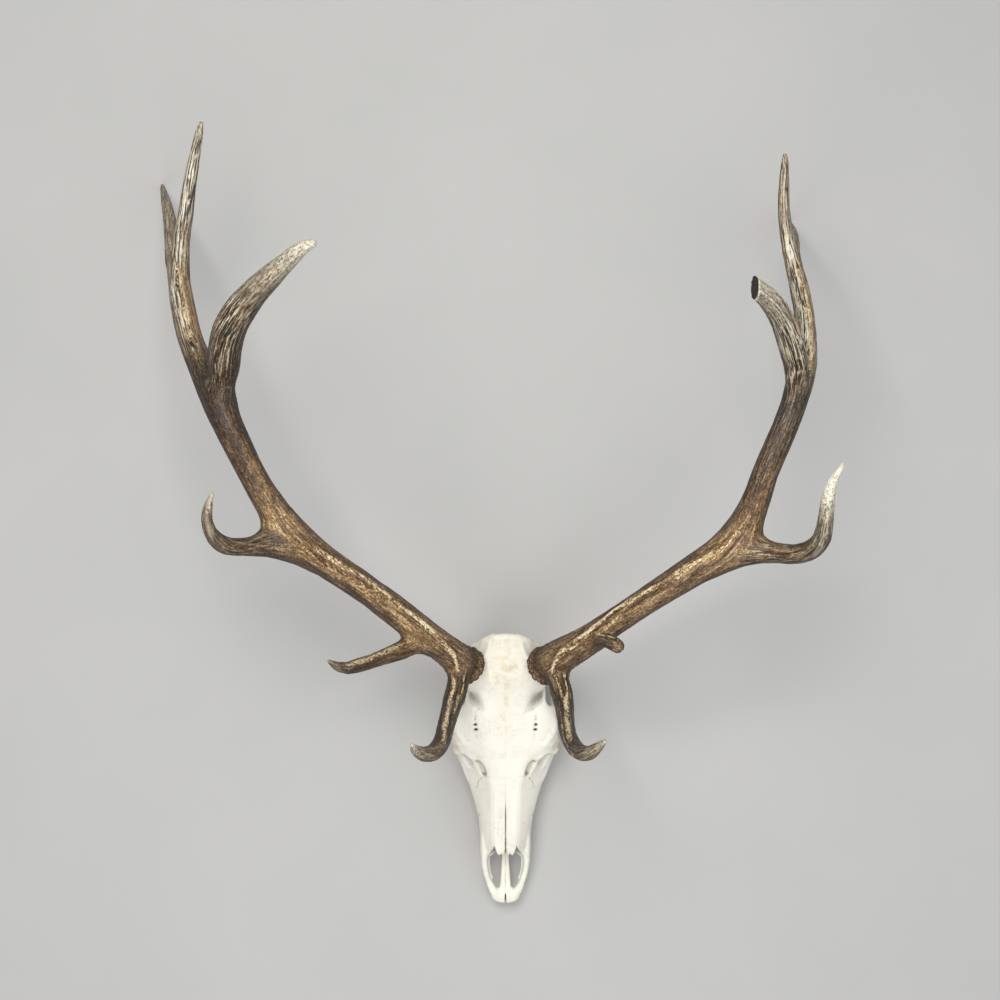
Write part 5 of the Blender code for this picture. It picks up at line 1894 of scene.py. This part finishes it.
LEFT_BANDS = [
    Band(Tube.BEAM, 0.0, 0.13, (-62, -38, 6, 24, 34), 4.8, 1.0),
    Band(Tube.BEAM, 0.095, 0.29, (38, 34, 30, 39, 40), 4.6, 1.0),
    Band(Tube.BEAM, 0.24, 0.37, (38, 28, 20), 5.0, 0.55),
    Band(Tube.BEAM, 0.14, 0.42, (0, 6, -4, -10), 9.0, 0.22),
    Band(Tube.BROW, 0.10, 0.72, (26, 12, 6), 4.6, 0.85),
    Band(Tube.BROW, 0.05, 0.5, (-34, -26), 2.6, 0.5),
    Band(Tube.BEZ, 0.22, 0.86, (48, 36), 5.6, 0.74),
    Band(Tube.BEAM, 0.63, 0.99, (10, -12, -6, 4), 10.0, 1.0, Mark.STRIPED),
    Band(Tube.BEAM, 0.64, 0.84, (16, 20, 14), 5.0, 0.5),
    Band(Tube.BEAM, 0.65, 0.81, (50, 62, 60), 9.0, 0.9, Mark.AMBER),
    Band(Tube.BEAM, 0.085, 0.13, (54, 50), 1.9, 0.9, Mark.CRACK),
]
RIGHT_BANDS = [
    Band(Tube.BEAM, 0.02, 0.12, (62, 20, -12, -26, -29), 5.0, 1.0),
    Band(Tube.BEAM, 0.085, 0.30, (-29, -33, -42, -57, -50, -40, -36), 3.5, 1.0),
    Band(Tube.BEAM, 0.045, 0.16, (8, -8, -16, -22), 2.4, 0.8),
    Band(Tube.BEAM, 0.27, 0.45, (-36, -24, -12, -4), 7.5, 0.5),
    Band(Tube.BEAM, 0.14, 0.25, (-8, -12), 6.0, 0.34),
    Band(Tube.BROW, 0.03, 0.30, (-42, -42, -36, -20), 2.3, 0.85),
    Band(Tube.BROW, 0.03, 0.30, (22, 8, 2, -6), 2.3, 0.85),
    Band(Tube.BROW, 0.24, 0.70, (-9, -12, -16), 4.8, 1.0),
    Band(Tube.BROW, 0.35, 0.80, (34, 30), 2.4, 0.4),
    Band(Tube.BEZ, 0.10, 0.98, (-52, -50), 2.8, 1.0),
    Band(Tube.BEAM, 0.64, 0.93, (0, -12, -8), 9.0, 1.0, Mark.STRIPED),
    Band(Tube.BEAM, 0.63, 0.86, (14, 18, 10), 5.0, 0.5),
    Band(Tube.BEAM, 0.67, 0.86, (50, 58, 50), 8.0, 0.9, Mark.AMBER),
    Band(Tube.BEAM, 0.875, 0.945, (22, 44), 1.5, 0.95, Mark.CRACK),
    Band(Tube.ROYAL, 0.45, 1.0, (60, 50), 5.0, 0.6),
]


def main() -> None:
    """Builds and dresses every piece, then sets up the studio."""
    logging.basicConfig(level=logging.INFO, format="%(name)s: %(message)s")
    bone, enamel, antler = BleachedBone().material(), ToothEnamel().material(), HardAntler().material()
    Cranium(bone).build()
    NasalBones(bone).build()
    Premaxillae(bone).build()
    CheekTeeth(enamel).build()
    Antler(Side.LEFT, LEFT, LEFT_BANDS, LEFT_TONES, antler, webs=WEBS).build()
    Antler(Side.RIGHT, RIGHT, RIGHT_BANDS, RIGHT_TONES, antler, webs={**WEBS, Tube.ROYAL: 9.0}, broken=True,
           blunt_bez=True, voxel=1.85).build()
    Studio().build()


if __name__ == "__main__":
    main()
